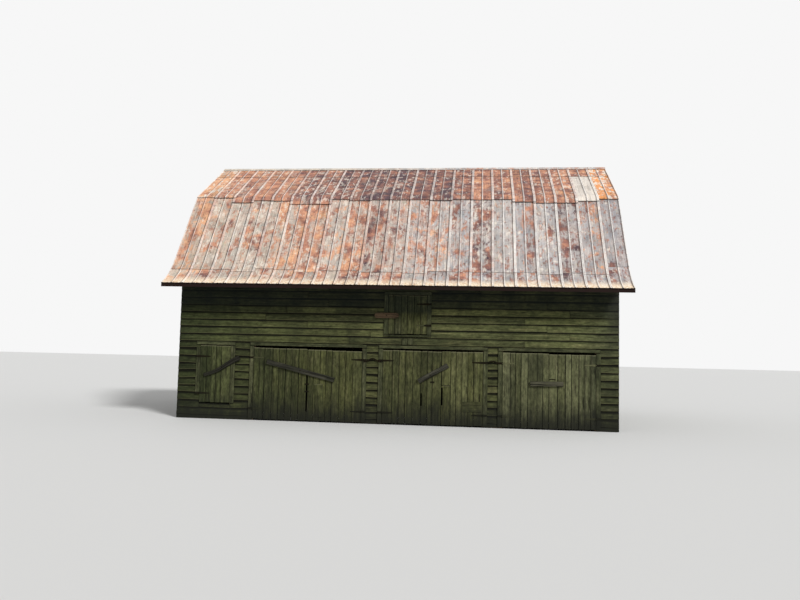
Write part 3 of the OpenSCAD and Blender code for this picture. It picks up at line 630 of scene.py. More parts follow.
def makePlankTree():
    # Puts a board on each point, warps it and frays its ends
    tree, given = makeTree("planks", {"Steps Along": 14, "Steps Across": 5, "Warp": 0.006,
                                      "Rough Edge": 0.003, "Top Face Back": 0.0, "Top Rear Back": 0.0})
    cube = nodeOut(tree, "GeometryNodeMeshCube",
                   {"Vertices X": given["Steps Along"], "Vertices Z": given["Steps Across"]})
    cube = keep(cube, "place", nodeOut(tree, "GeometryNodeInputPosition"))
    size = stored(tree, "size", "FLOAT_VECTOR")
    boards = onPoints(given, cube, {"Scale": size})
    px, py, pz = splitXYZ(stored(tree, "place", "FLOAT_VECTOR"))
    sx, sy, sz = splitXYZ(size)
    tone = stored(tree, "tone")
    run = px * sx

    def wander(x, y, z=0.0):
        return noiseOf(joinXYZ(x, y, z), 1.0, 2.0) - 0.5

    bow = wander(run * 0.9, tone * 57.0) * given["Warp"]
    cup = wander(run * 1.3, tone * 83.0, pz * 0.7) * given["Warp"]
    nibble = wander(run * 7.0, tone * 31.0, pz * 4.0) * given["Rough Edge"] * (pz * 2.0)
    atEnd = calc("GREATER_THAN", calc("ABSOLUTE", px), 0.49)
    fray = noiseOf(joinXYZ(pz * 7.0, tone * 91.0, px), 1.0, 2.0) * stored(tree, "ragged") * calc("SIGN", px)
    slant = pz * (stored(tree, "slantStart") * (0.5 - px) + stored(tree, "slantEnd") * (px + 0.5))
    back = given["Top Face Back"] * (0.5 - py) + given["Top Rear Back"] * (py + 0.5)
    offset = joinXYZ(slant - fray * atEnd, (pz + 0.5) * back + cup, bow + nibble + stored(tree, "skew") * px)
    boards = nodeOut(tree, "GeometryNodeSetPosition", {"Geometry": boards, "Offset": offset})
    grainPlace = joinXYZ(run + tone * 13.7, py * sy + tone * 5.1, pz * sz + tone * 29.3)
    boards = keep(boards, "grainPlace", grainPlace)
    return endTree(given, boards)


plankTree = makePlankTree()


def makeHeadTree():
    # Round heads of nails and screws, one on each point, turned to look along the point's facing
    tree, given = makeTree("heads", {"Sides": 7, "Radius": 0.005, "Height": 0.003})
    head = nodeOut(tree, "GeometryNodeMeshCone",
                   {"Vertices": given["Sides"], "Radius Top": given["Radius"] * 0.55,
                    "Radius Bottom": given["Radius"], "Depth": given["Height"]})
    facing = stored(tree, "facing", "FLOAT_VECTOR")
    turn = nodeOut(tree, "FunctionNodeAlignRotationToVector", {"Vector": facing}, axis="Z")
    grow = stored(tree, "grow", "FLOAT_VECTOR")
    return endTree(given, onPoints(given, head, {"Rotation": turn, "Scale": grow}))


headTree = makeHeadTree()


def addAttributes(mesh, points):
    # What the points carry besides their place: vectors, whole numbers and numbers
    for name, first in points[0].items():
        values = [p[name] for p in points]
        if name == "at":
            continue
        if isinstance(first, tuple):
            flat = [c for value in values for c in value]
            mesh.attributes.new(name, "FLOAT_VECTOR", "POINT").data.foreach_set("vector", flat)
        else:
            kind = "INT" if isinstance(first, int) else "FLOAT"
            mesh.attributes.new(name, kind, "POINT").data.foreach_set("value", values)


def runTree(tree, points, inputs, matrix):
    # Puts the tree on the points, takes the result as a plain mesh, and moves that into place
    mesh = bpy.data.meshes.new("points")
    mesh.from_pydata([p["at"] for p in points], [], [])
    addAttributes(mesh, points)
    carrier = newObject("carrier", mesh)
    modifier = carrier.modifiers.new("nodes", "NODES")
    modifier.node_group = tree
    for item in tree.interface.items_tree:
        if item.in_out == "INPUT" and item.name in inputs:
            modifier[item.identifier] = inputs[item.name]
    carrier.update_tag()
    graph = bpy.context.evaluated_depsgraph_get()
    made = bpy.data.meshes.new_from_object(carrier.evaluated_get(graph), depsgraph=graph)
    carrier.modifiers.remove(modifier)
    bpy.data.objects.remove(carrier)
    made.transform(matrix)
    for name in ("size", "skew", "slantStart", "slantEnd", "ragged", "variant", "length", "lift"):
        if name in made.attributes:
            made.attributes.remove(made.attributes[name])
    return made


unturned = Matrix.Identity(4)
halfTurn = Matrix.Rotation(math.pi, 4, "Z")
boardBevel = 0.0025


def board(x0, x1, y0, y1, z0, z1, tone, **more):
    return {"at": ((x0 + x1) / 2, (y0 + y1) / 2, (z0 + z1) / 2), "size": (x1 - x0, y1 - y0, z1 - z0),
            "tone": tone, "skew": 0.0, "slantStart": 0.0, "slantEnd": 0.0, "ragged": 0.0, "damp": 0.0, **more}


def planks(boards, material, matrix=unturned, along=14, across=5, warp=0.006, rough=0.004, faceBack=0.0,
           rearBack=0.0):
    inputs = {"Steps Along": along, "Steps Across": across, "Warp": warp, "Rough Edge": rough,
              "Top Face Back": faceBack, "Top Rear Back": rearBack, "Material": materials[material]}
    return runTree(plankTree, boards, inputs, matrix)


def heads(places, matrix=unturned, radius=0.005, height=0.004, sides=7, seed=5):
    rng = random.Random(seed)
    points = []
    for place in places:
        wide = rng.uniform(0.8, 1.25)
        points.append({"at": place, "facing": (0, -1, 0), "grow": (wide, wide, 1.0)})
    inputs = {"Sides": sides, "Radius": radius, "Height": height, "Material": materials["iron"]}
    return runTree(headTree, points, inputs, matrix)


def piece(name, meshes, body, nodes=(), bevel=0.0):
    # Joins meshes to one piece that rides on a body and stands for CAD nodes
    parts = [newObject(name, mesh) for mesh in meshes]
    obj = parts[0]
    if len(parts) > 1:
        with bpy.context.temp_override(active_object=obj, object=obj, selected_objects=parts,
                                       selected_editable_objects=parts):
            bpy.ops.object.join()
    obj.name = name
    if bevel:
        worn = obj.modifiers.new("bevel", "BEVEL")
        worn.width = bevel
        worn.segments = 1
        worn.limit_method = "ANGLE"
        worn.angle_limit = math.radians(50)
    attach(obj, body)
    if nodes:
        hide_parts(*nodes)


# Weatherboards. Laps and lengths in metres, lowest is where the first row starts, and loose how far a lower
# edge may stray, more on boards shorter than short
studGap = 0.606
siding = {"exposure": 0.209, "firstLap": 0.119, "overlap": 0.026, "thick": 0.018, "shortest": 2.3,
          "longest": 4.9, "leastEnd": 1.2, "lowest": 0.012, "leastRow": 0.04, "clear": 0.0065, "gap": 0.0008,
          "ragged": 0.0015, "leastWide": 0.03, "leastTall": 0.02, "short": 1.0, "shortLoose": 0.014,
          "loose": 0.0065}
lapFaces = {"faceBack": 0.017, "rearBack": 0.009}
# Painted shade of the eave over the wall's top rows: the height where it starts, the height over which it
# grows, and its strength
dampUnderEave = {"from": 2.96, "fade": 0.28, "most": 0.88}
lapNail = {"fromEnd": 0.03, "fromStud": 0.12, "shares": (0.16, 0.62), "narrow": 0.12, "sunk": 0.0005,
           "strayAlong": 0.008, "strayUp": 0.01}


def cutOut(rect, holes):
    # What is left of a board's rectangle beside, under and over the openings
    left = [rect]
    for hx0, hx1, hz0, hz1 in holes:
        rest = []
        for x0, x1, z0, z1 in left:
            if x1 <= hx0 or x0 >= hx1 or z1 <= hz0 or z0 >= hz1:
                rest.append((x0, x1, z0, z1))
                continue
            inner = (max(x0, hx0), min(x1, hx1))
            around = [(x0, hx0, z0, z1), (hx1, x1, z0, z1), (*inner, z0, hz0), (*inner, hz1, z1)]
            rest += [r for r in around if r[0] < r[1] and r[2] < r[3]]
        left = rest
    return [r for r in left if r[1] - r[0] > siding["leastWide"] and r[3] - r[2] > siding["leastTall"]]


def lapRows(top):
    rows = [(siding["lowest"], siding["firstLap"] + siding["overlap"])]
    z = siding["firstLap"]
    while z < top - siding["leastRow"]:
        rows.append((z, min(z + siding["exposure"] + siding["overlap"], top)))
        z += siding["exposure"]
    return rows


def cutLengths(x0, x1, rng, taken):
    # Boards meet on a stud, and not on one where the rows below have met
    cuts = [x0]
    while x1 - cuts[-1] > siding["longest"]:
        longest = min(siding["longest"], x1 - cuts[-1] - siding["leastEnd"])
        cut = round((cuts[-1] + rng.uniform(siding["shortest"], longest)) / studGap)
        if cut in taken[-4:]:
            cut += 1
        taken.append(cut)
        cuts.append(cut * studGap)
    return list(zip(cuts, cuts[1:] + [x1]))


def sideTone(rng):
    return min(1.0, max(0.0, rng.gauss(0.5, 0.14)))


def lapBoard(x0, x1, z0, z1, rng, loose=0.004, **more):
    foot = z0 + rng.uniform(-loose, loose)
    tone = sideTone(rng)
    skew = rng.uniform(-2, 2) * loose
    # A board's lowest corner stays above the ground, with room for its bow and rough edge
    foot = max(foot, siding["clear"] + abs(skew) / 2)
    return board(x0 + siding["gap"], x1 - siding["gap"], frontY, frontY + siding["thick"], foot, z1, tone,
                 skew=skew, ragged=siding["ragged"], **more)


def longWall(holes, seed):
    rng = random.Random(seed)
    half = walls["length"] / 2
    made, taken = [], []
    for z0, z1 in lapRows(walls["top"]):
        # The top rows take the painted shade of the eave
        near = (z0 - dampUnderEave["from"]) / dampUnderEave["fade"]
        damp = min(1.0, max(0.0, near)) * dampUnderEave["most"]
        for x0, x1, low, high in cutOut((-half, half, z0, z1), holes):
            loose = siding["shortLoose" if x1 - x0 < siding["short"] else "loose"]
            made += [lapBoard(a, b, low, high, rng, loose, damp=damp)
                     for a, b in cutLengths(x0, x1, rng, taken)]
    return made


def lapNails(boards, seed):
    # Two nails a board at each stud, one near the lap and one higher up
    rng = random.Random(seed)
    places = []
    for b in boards:
        x0, x1 = b["at"][0] - b["size"][0] / 2, b["at"][0] + b["size"][0] / 2
        z0, tall = b["at"][2] - b["size"][2] / 2, b["size"][2]
        studs = range(math.ceil((x0 + lapNail["fromStud"]) / studGap),
                      math.floor((x1 - lapNail["fromStud"]) / studGap) + 1)
        for x in [x0 + lapNail["fromEnd"], x1 - lapNail["fromEnd"]] + [k * studGap for k in studs]:
            for share in lapNail["shares"][:1 if tall < lapNail["narrow"] else 2]:
                y = frontY + lapFaces["faceBack"] * share - lapNail["sunk"]
                off = rng.uniform(-lapNail["strayAlong"], lapNail["strayAlong"])
                rise = rng.uniform(-lapNail["strayUp"], lapNail["strayUp"])
                places.append((x + off, y, z0 + tall * share + rise))
    return places


def wallPiece(node, boards, nails, turn=unturned):
    piece(node + "_boards", [planks(boards, "weatherboards", turn, **lapFaces), heads(nails, turn)],
          "barn", [node], boardBevel)


def makeFrontWall():
    groups = {"front_wall_piers": [], "front_wall_upper": [], "small_door_apron": []}
    for b in longWall(openings, 11):
        x, _, z = b["at"]
        if smallOpening[0] < x < smallOpening[1] and z < smallOpening[2]:
            groups["small_door_apron"].append(b)
        else:
            groups["front_wall_piers" if z < doorHead else "front_wall_upper"].append(b)
    for node, group in groups.items():
        wallPiece(node, group, lapNails(group, 61))


def makeBackWall():
    boards = longWall([], 12)
    wallPiece("back_wall", boards, lapNails(boards, 62), halfTurn)


def flareShape():
    r = roof["flareRadius"]
    top = (roof["halfSpan"] - r * (math.sin(lowerAngle) - math.sin(eaveAngle)),
           roof["eaveHeight"] + r * (math.cos(eaveAngle) - math.cos(lowerAngle)))
    return top, (top[0] - roof["lowerRun"], top[1] + roof["lowerRun"] * math.tan(lowerAngle))


flareTop, bend = flareShape()
ridgeHeight = bend[1] + bend[0] * math.tan(upperAngle)
gable = {"underRidge": 0.05, "least": 0.1, "peak": 0.02}


def gableHalf(z):
    # Half width of an end wall at a height, under the purlins
    underLower, underUpper = (roof["rafterTop"] / math.cos(angle) for angle in (lowerAngle, upperAngle))
    onLower = flareTop[0] - (z + underLower - flareTop[1]) / math.tan(lowerAngle)
    onUpper = (ridgeHeight - underUpper - z) / math.tan(upperAngle)
    return max(0.0, min(walls["depth"] / 2 - walls["board"], onLower, onUpper))


def makeEndWall(node, side, seed):
    rng = random.Random(seed)
    boards, taken = [], []
    for z0, z1 in lapRows(ridgeHeight - gable["underRidge"]):
        low, high = gableHalf(z0), gableHalf(z1)
        if high < gable["least"]:
            high = gable["peak"]
        middle = (low + high) / 2
        for a, b in cutLengths(-middle, middle, rng, taken):
            boards.append(lapBoard(a, b, z0, z1, rng, slantStart=low - high if a == -middle else 0.0,
                                   slantEnd=high - low if b == middle else 0.0))
    turn = (Matrix.Rotation(math.pi / 2 * side, 4, "Z")
            @ Matrix.Translation((0, -frontY - walls["length"] / 2, 0)))
    nails = [place for place in lapNails(boards, 63) if abs(place[0]) < gableHalf(place[2] + 0.1) - 0.02]
    wallPiece(node, boards, nails, turn)


makeFrontWall()
makeBackWall()
makeEndWall("right_wall", 1, 13)
makeEndWall("left_wall", -1, 14)
print("walls boarded")

# Lying boards stood upright: X of the tree goes to Z, and Z of the tree to X
upright = Matrix(((0, 0, -1, 0), (0, 1, 0, 0), (1, 0, 0, 0), (0, 0, 0, 1)))


def uprightBoard(x0, x1, y0, y1, z0, z1, tone, skew=0.0, **more):
    # x is measured along the front, z upwards, as they stand in the end
    return board(z0, z1, y0, y1, -x1, -x0, tone, skew=-skew, **more)


# Leaves, from the photograph: seams are the board joints, tones how pale each board is, feet and heads the
# heights of the leaf at its two edges. A slot has its side, its ends and its depth, a joint its height, and a
# patch its middle (x, z), its width, its height and its tilt
leaves = {
    "small_door": {
        "opening": smallOpening, "hinge": "left", "body": "small_leaf", "feet": (0.455, 0.455),
        "heads": (2.084, 2.078), "seams": (-5.31, -5.17, -5.03, -4.87),
        "tones": (0.26, 0.18, 0.74, 0.5, 0.78)},
    "door_1_left": {
        "opening": doorways[1], "hinge": "left", "feet": (0.03, 0.022), "heads": (2.052, 2.034),
        "seams": (-3.76, -3.61, -3.38, -3.19, -3.0, -2.81, -2.62),
        "tones": (0.42, 0.3, 0.16, 0.5, 0.38, 0.42, 0.36, 0.48), "slots": {7: (1, 0.3, 1.3, 0.02)}},
    "door_1_right": {
        "opening": doorways[1], "hinge": "right", "feet": (0.022, 0.024), "heads": (2.028, 2.0),
        "seams": (-2.19, -2.01, -1.84, -1.67, -1.46, -1.28, -1.08),
        "tones": (0.36, 0.56, 0.68, 0.62, 0.58, 0.64, 0.52, 0.56), "slots": {0: (-1, 0.3, 1.26, 0.02)},
        "patch": (-2.008, 0.6, 0.24, 0.92, 3.8)},
    "door_2_left": {
        "opening": doorways[2], "hinge": "left", "feet": (0.024, 0.028), "heads": (2.062, 2.055),
        "seams": (0.03, 0.21, 0.39, 0.6, 0.82, 0.99), "tones": (0.42, 0.28, 0.58, 0.5, 0.46, 0.26, 0.3),
        "slots": {5: (-1, 0.55, 0.87, 0.03)}},
    "door_2_right": {
        "opening": doorways[2], "hinge": "right", "feet": (0.028, 0.024), "heads": (2.053, 2.058),
        "seams": (1.39, 1.64, 1.79, 1.95, 2.11, 2.27), "tones": (0.44, 0.64, 0.84, 0.8, 0.94, 0.64, 0.6),
        "slots": {1: (-1, 0.59, 1.05, 0.032)}, "joints": {1: 1.117}, "patch": (2.235, 0.555, 0.52, 0.28, 1.2)},
    "door_3_left": {
        "opening": doorways[3], "hinge": "left", "feet": (0.026, 0.022), "heads": (2.065, 2.064),
        "seams": (3.26, 3.4, 3.55, 3.73, 3.98, 4.13), "tones": (0.92, 0.5, 0.52, 1.0, 0.56, 0.54, 0.9)},
    "door_3_right": {
        "opening": doorways[3], "hinge": "right", "feet": (0.022, 0.03), "heads": (2.044, 2.046),
        "seams": (4.53, 4.73, 4.89, 5.09, 5.25, 5.4), "tones": (0.9, 0.7, 1.0, 0.78, 0.6, 0.6, 0.3)},
    "loft_door": {
        "opening": loftOpening, "hinge": "right", "body": "barn", "feet": (2.495, 2.495),
        "heads": (3.586, 3.586), "seams": (0.06, 0.24, 0.41, 0.6, 0.78),
        "tones": (0.3, 0.2, 0.46, 0.38, 0.34, 0.5)},
}
leafSizes = {"patch": 0.008, "board": 0.028, "ledge": 0.024, "ledgeWidth": 0.14, "ledgeIn": 0.06,
             "ledgeEnd": 0.2, "gap": 0.011, "joint": 0.004, "clear": 0.008, "headClear": 0.012,
             "footClear": 0.02, "pairHead": 2.065, "nailSunk": 0.0005, "nailStray": 0.03}


def leafFrame(name, leaf):
    # (x0, x1, low, high) of a leaf in its opening. The two of a pair clear each other as well
    x0, x1, low, high = leaf["opening"]
    clear = leafSizes["clear"]
    middle = (x0 + x1) / 2
    if not name.endswith(("left", "right")):
        return x0 + clear, x1 - clear, low + leafSizes["headClear"], high - leafSizes["headClear"]
    ends = (x0 + clear, middle - clear / 2) if leaf["hinge"] == "left" else (middle + clear / 2, x1 - clear)
    return (*ends, leafSizes["footClear"], leafSizes["pairHead"])


def leafBoards(leaf, marks, rng):
    made = []
    for i, (a, b) in enumerate(zip(marks, marks[1:])):
        share = ((a + b) / 2 - marks[0]) / (marks[-1] - marks[0])
        (foot0, foot1), (head0, head1) = leaf["feet"], leaf["heads"]
        foot = foot0 + (foot1 - foot0) * share + rng.uniform(0, 0.012)
        head = head0 + (head1 - head0) * share - rng.uniform(0, 0.008)
        left = a if i == 0 else a + leafSizes["gap"] * rng.uniform(0.2, 0.7)
        right = b if i == len(marks) - 2 else b - leafSizes["gap"] * rng.uniform(0.2, 0.7)
        depth = (trimY + rng.uniform(0, 0.003), trimY + leafSizes["board"])
        tone = leaf["tones"][i]
        skew = rng.uniform(-0.004, 0.004)
        if i in leaf.get("joints", {}):
            low, head, high = leaf["joints"][i] + leafSizes["joint"], leaf["joints"][i], head
            made.append(uprightBoard(left, right, *depth, low, high, tone + 0.07, skew, ragged=0.012))
        parts = [(left, right, foot, head, 0.012)]
        if i in leaf.get("slots", {}):
            # A sliver has split off one edge and left a slot
            side, slotLow, slotHigh, deep = leaf["slots"][i]
            split = left + deep if side < 0 else right - deep
            sliver, rest = ((left, split), (split, right)) if side < 0 else ((split, right), (left, split))
            parts = [(*rest, foot, head, 0.006), (*sliver, foot, slotLow, 0.03),
                     (*sliver, slotHigh, head, 0.03)]
            skew = 0.0
        made += [uprightBoard(x0, x1, *depth, z0, z1, tone, skew, ragged=rot) for x0, x1, z0, z1, rot in parts]
    return made


def leafPatch(x, z, width, height, tilt):
    # A board nailed over a hole, lying if it is wider than high
    thick = leafSizes["patch"]
    lying = height < width
    turn = Matrix.Translation((x, trimY - thick, z)) @ Matrix.Rotation(math.radians(-tilt), 4, "Y")
    cut = board if lying else uprightBoard
    made = cut(-width / 2, width / 2, 0, thick, -height / 2, height / 2, 0.5, ragged=0.008)
    return planks([made], "doorBoards", turn if lying else turn @ upright, warp=0.003)


def makeLeaf(name, leaf, seed):
    rng = random.Random(seed)
    x0, x1, low, high = leafFrame(name, leaf)
    marks = [x0, *leaf["seams"], x1]
    boards = leafBoards(leaf, marks, rng)
    back, wide = trimY + leafSizes["board"], leafSizes["ledgeWidth"]
    rear = back + leafSizes["ledge"]
    left, right = x0 + leafSizes["ledgeIn"], x1 - leafSizes["ledgeIn"]
    bottom, top = low + leafSizes["ledgeEnd"], high - leafSizes["ledgeEnd"]
    free = right - left - wide
    start = left + free / 2
    lean = (1 if leaf["hinge"] == "left" else -1) * free * (top - bottom - 2 * wide) / (top - bottom)
    brace = [uprightBoard(start, start + wide, back, rear, bottom + wide, top - wide, 0.4, lean)]
    ledges = [board(left, right, back, rear, z, z + wide, rng.random()) for z in (bottom, top - wide)]
    stray = leafSizes["nailStray"]
    nails = [(a + (b - a) * share, trimY + leafSizes["nailSunk"], z + rng.uniform(-stray, stray))
             for z in (bottom + wide / 2, top - wide / 2)
             for a, b in zip(marks, marks[1:]) for share in (0.27, 0.73)]
    patches = [leafPatch(*leaf["patch"])] if "patch" in leaf else []
    meshes = patches + [heads(nails, seed=seed), planks(boards, "doorBoards", upright, warp=0.004),
                        planks(brace, "doorBoards", upright, along=8, across=3, warp=0.0),
                        planks(ledges, "doorBoards", along=8, across=3, warp=0.002)]
    piece(name + "_boards", meshes, leaf.get("body", name + "_leaf"), [name], boardBevel)


for leafSeed, (leafName, leafValues) in enumerate(leaves.items(), 21):
    makeLeaf(leafName, leafValues, leafSeed)
print("leaves built:", len(leaves))

# Trims: side boards, head boards and the loft's sill. The small doorway's left trim has rotted off at the
# foot, and two short boards, (x0, x1, how proud, z0, z1, tone), close an old hole under the loft's sill
trims = {"side": 0.118, "head": 0.08, "joint": 0.001, "sill": 0.04, "foot": 0.006, "rottenFoot": 0.66,
         "patches": [(0.275, 0.424, 0.004, 2.2, 2.385, 0.5), (0.434, 0.586, 0.006, 2.206, 2.392, 0.62)]}


def makeTrims():
    rng = random.Random(31)
    stood, laid = [], []
    side, joint = trims["side"], trims["joint"]
    for x0, x1, z0, z1 in openings:
        for x in (x0 - side, x1):
            foot, rot = max(z0, trims["foot"]) + rng.uniform(0, 0.01), 0.03 if z0 < 2 else 0.004
            if x0 == smallOpening[0] and x < x0:
                foot, rot = trims["rottenFoot"], 0.16
            face = trimY + rng.uniform(0, 0.002)
            stood.append(uprightBoard(x, x + side, face, frontY, foot, z1 - joint, sideTone(rng), ragged=rot))
        head = (z1, z1 + trims["head"])
        laid.append(board(x0 - side, x1 + side, trimY, frontY, *head, sideTone(rng), ragged=0.004))
    x0, x1, z0, _ = loftOpening
    laid.append(board(x0 - side, x1 + side, trimY, frontY, z0 - trims["sill"] - joint, z0 - joint, 0.2))
    for x0, x1, proud, z0, z1, tone in trims["patches"]:
        stood.append(uprightBoard(x0, x1, trimY + proud, frontY, z0, z1, tone, ragged=0.01))
    meshes = [planks(stood, "trimBoards", upright, warp=0.003, across=7),
              planks(laid, "trimBoards", warp=0.004)]
    piece("door_trim_boards", meshes, "barn", ["door_trims"], boardBevel)


makeTrims()

# Turn bars and the loft door's button: rough sawn, split and frayed at the ends
bars = {
    "small_door_bar": {"joint": "small_bar_turn", "body": "small_bar", "length": 1.2, "tilt": 26, "tone": 0.12,
                       "rough": 0.014, "crook": 0.028, "taper": 0.42},
    "door_1_bar": {"joint": "door_1_bar_turn", "body": "door_1_turn_bar", "length": 2.05, "tilt": -13.5,
                   "tone": 0.36, "rough": 0.036},
    "door_2_bar": {"joint": "door_2_bar_turn", "body": "door_2_turn_bar", "length": 0.97, "tilt": 29.5,
                   "tone": 0.42, "rough": 0.012, "shift": 0.09},
    "door_3_bar": {"joint": "door_3_bar_turn", "body": "door_3_turn_bar", "length": 0.925, "tilt": 1,
                   "tone": 0.9, "rough": 0.01},
}
barSizes = {"width": 0.13, "thick": 0.032, "stand": 0.02}
barFaceY = trimY - barSizes["stand"]


def makeBar(name, bar):
    half, wide, shift = bar["length"] / 2, barSizes["width"] / 2, bar.get("shift", 0.0)
    x, _, z = next(joint for joint in frame["joints"] if joint["name"] == bar["joint"])["pos_m"]
    body = board(shift - half, shift + half, -barSizes["thick"], 0.0, -wide, wide, bar["tone"], ragged=0.05)
    wood = planks([body], "barWood", along=40, across=9, warp=0.004, rough=bar["rough"])
    for vertex in wood.vertices:
        along = vertex.co.x / bar["length"]
        vertex.co.z *= 1 - bar.get("taper", 0.0) * max(0.0, 0.3 - along)
        vertex.co.z -= bar.get("crook", 0.0) * math.sin(math.tau * (along + 0.4))
    wood.transform(Matrix.Translation((x, barFaceY, z)) @ Matrix.Rotation(-math.radians(bar["tilt"]), 4, "Y"))
    piece(name + "_wood", [wood], bar["body"], [name], 0.003)


for barName, barValues in bars.items():
    makeBar(barName, barValues)


def closedMesh(name, verts, faces, material):
    mesh = bpy.data.meshes.new(name)
    mesh.from_pydata(verts, [], faces)
    form = bmesh.new()
    form.from_mesh(mesh)
    bmesh.ops.recalc_face_normals(form, faces=form.faces)
    form.to_mesh(mesh)
    form.free()
    mesh.materials.append(materials[material])
    return mesh


button = {"bolt": (-0.1643, 3.01), "length": 0.675, "width": 0.15, "thick": 0.032, "round": 0.068}


def makeButton():
    # A board with rounded ends, its outline stepped finely enough to show the wear
    half, wide, r = button["length"] / 2, button["width"] / 2, button["round"]
    outline = []
    for quarter, (cx, cz) in enumerate(((half - r, wide - r), (r - half, wide - r), (r - half, r - wide),
                                        (half - r, r - wide))):
        for step in range(7):
            a = math.radians(90 * quarter + 15 * step)
            outline.append((cx + r * math.cos(a), cz + r * math.sin(a)))
    count = len(outline)
    verts = [(x, y, z) for y in (-button["thick"], 0.0) for x, z in outline]
    faces = [tuple(range(count)), tuple(reversed(range(count, 2 * count)))]
    for i in range(count):
        j = (i + 1) % count
        faces.append((j, i, count + i, count + j))
    made = closedMesh("button", verts, faces, "buttonPaint")
    addAttributes(made, [{"grainPlace": (x + 3.0, y + 1.0, z + 2.0), "tone": 0.5,
                          "place": (x / button["length"] * 0.9, 0, 0)} for x, y, z in verts])
    made.transform(Matrix.Translation((button["bolt"][0], barFaceY, button["bolt"][1])))
    piece("loft_button_wood", [made], "button", ["loft_button"], 0.004)


makeButton()
print("trims and bars built")

loftFloor = {"half": (6.0, 3.6), "top": 2.42, "thick": 0.028, "width": 0.165, "gap": 0.002, "least": 0.05}


def makeLoftFloor():
    rng = random.Random(41)
    hx, hy = loftFloor["half"]
    low, high, gap = -loftFloor["top"], loftFloor["thick"] - loftFloor["top"], loftFloor["gap"]
    boards, taken = [], []
    y = -hy
    while y < hy - 0.02:
        end = min(y + loftFloor["width"] * rng.uniform(0.85, 1.15), hy)
        if hy - end < loftFloor["least"]:
            end = hy
        boards += [board(a + gap / 2, b - gap / 2, low, high, y + gap, end - gap, rng.random())
                   for a, b in cutLengths(-hx, hx, rng, taken)]
        y = end
    lie = Matrix(((1, 0, 0, 0), (0, 0, 1, 0), (0, -1, 0, 0), (0, 0, 0, 1)))
    piece("loft_floor_boards", [planks(boards, "loftBoards", lie, along=8, across=2, warp=0.001, rough=0.0)],
          "barn", ["loft_floor"], 0.002)


makeLoftFloor()

# Roof sheets. Flat 5V sheets are laid out by points: x along the roof, y up the slope, z the level over the
# purlins. The tree lays a pressed sheet on each point, buckles it, and wraps it on the roof's profile curve
arcLength = roof["flareRadius"] * (lowerAngle - eaveAngle)
lowerLength = roof["lowerRun"] / math.cos(lowerAngle)
upperLength = bend[0] / math.cos(upperAngle)
turnedOver = {"length": 0.44, "standoff": 0.012, "radius": 0.09, "crest": 0.006}


def profileCurve(name, points):
    data = bpy.data.curves.new(name, "CURVE")
    data.dimensions = "3D"
    spline = data.splines.new("POLY")
    spline.points.add(len(points) - 1)
    for point, (u, z) in zip(spline.points, points):
        point.co = (0, -u, z, 1)
    return newObject(name, data)


def lowerProfile(steps=48):
    r = roof["flareRadius"]
    middle = (flareTop[0] + r * math.sin(lowerAngle), flareTop[1] + r * math.cos(lowerAngle))
    angles = [eaveAngle + (lowerAngle - eaveAngle) * i / steps for i in range(steps + 1)]
    points = [(middle[0] - r * math.sin(a), middle[1] - r * math.cos(a)) for a in angles]
    return profileCurve("lowerProfile", points + [bend])


def upperProfile(steps=8):
    # The upper sheets are beaten down over the bend, so their curve starts on the lower slope
    up = Vector((-math.cos(upperAngle), math.sin(upperAngle)))
    down = Vector((math.cos(lowerAngle), -math.sin(lowerAngle)))
    out = Vector((math.sin(lowerAngle), math.cos(lowerAngle)))
    corner, r, standoff = Vector(bend), turnedOver["radius"], turnedOver["standoff"]
    first, last = corner + down * r + out * standoff, corner + up * r
    over = corner + out * turnedOver["crest"]
    points = [corner + down * turnedOver["length"] + out * standoff * 1.6]
    for i in range(steps + 1):
        t = i / steps
        points.append((1 - t) ** 2 * first + 2 * t * (1 - t) * over + t * t * last)
    return profileCurve("upperProfile", [tuple(p) for p in points] + [(0.0, ridgeHeight)])


def pressedStations(centres):
    # (distance, height, paleness of the crest, dark line) across a crimp or a pair of crimps. A crest is pale
    # with wear and a painted highlight, and of a pair the right one, lit from the right, is the paler; the
    # dark line to their left is soiling with painted shade
    half, crest, high = sheet["crimpWidth"] / 2, sheet["crest"] / 2, sheet["crimpHeight"]
    low, top = min(centres), max(centres)
    made = [(low - half - 0.036, 0, 0, 0), (low - half - 0.012, 0, 0, 0.85)]
    for c in centres:
        left, right = c == low < top, low < top == c
        made += [(c - half, 0, 0.0 if left else 0.6, 1.0 if c == low else 0.15),
                 (c - crest, high, *((0.45, 0.5) if left else (1, 0) if right else (0.75, 0.1))),
                 (c + crest, high, 0.7 if left else 1, 0),
                 (c + half, 0, 0.5 if c == top else 0.75, 0.2 if c == top else 0.05)]
    return made + [(top + half + 0.014, 0, 0, 0)]


def shellFaces(wide, rows, start=0, flip=False):
    # Faces of a closed sheet of two layers, each of rows + 1 lines of wide points
    size = wide * (rows + 1)
    faces = []
    for row in range(rows):
        for i in range(wide - 1):
            a = start + row * wide + i
            quad = (a, a + 1, a + wide + 1, a + wide)
            faces += [tuple(size + v for v in quad), quad[::-1]]
        for i in (0, wide - 1):
            a = start + row * wide + i
            quad = (a, size + a, size + a + wide, a + wide)
            faces.append(quad if i else quad[::-1])
    for row in (0, rows):
        for i in range(wide - 1):
            a = start + row * wide + i
            quad = (a, a + 1, size + a + 1, size + a)
            faces.append(quad[::-1] if row else quad)
    return [face[::-1] for face in faces] if flip else faces


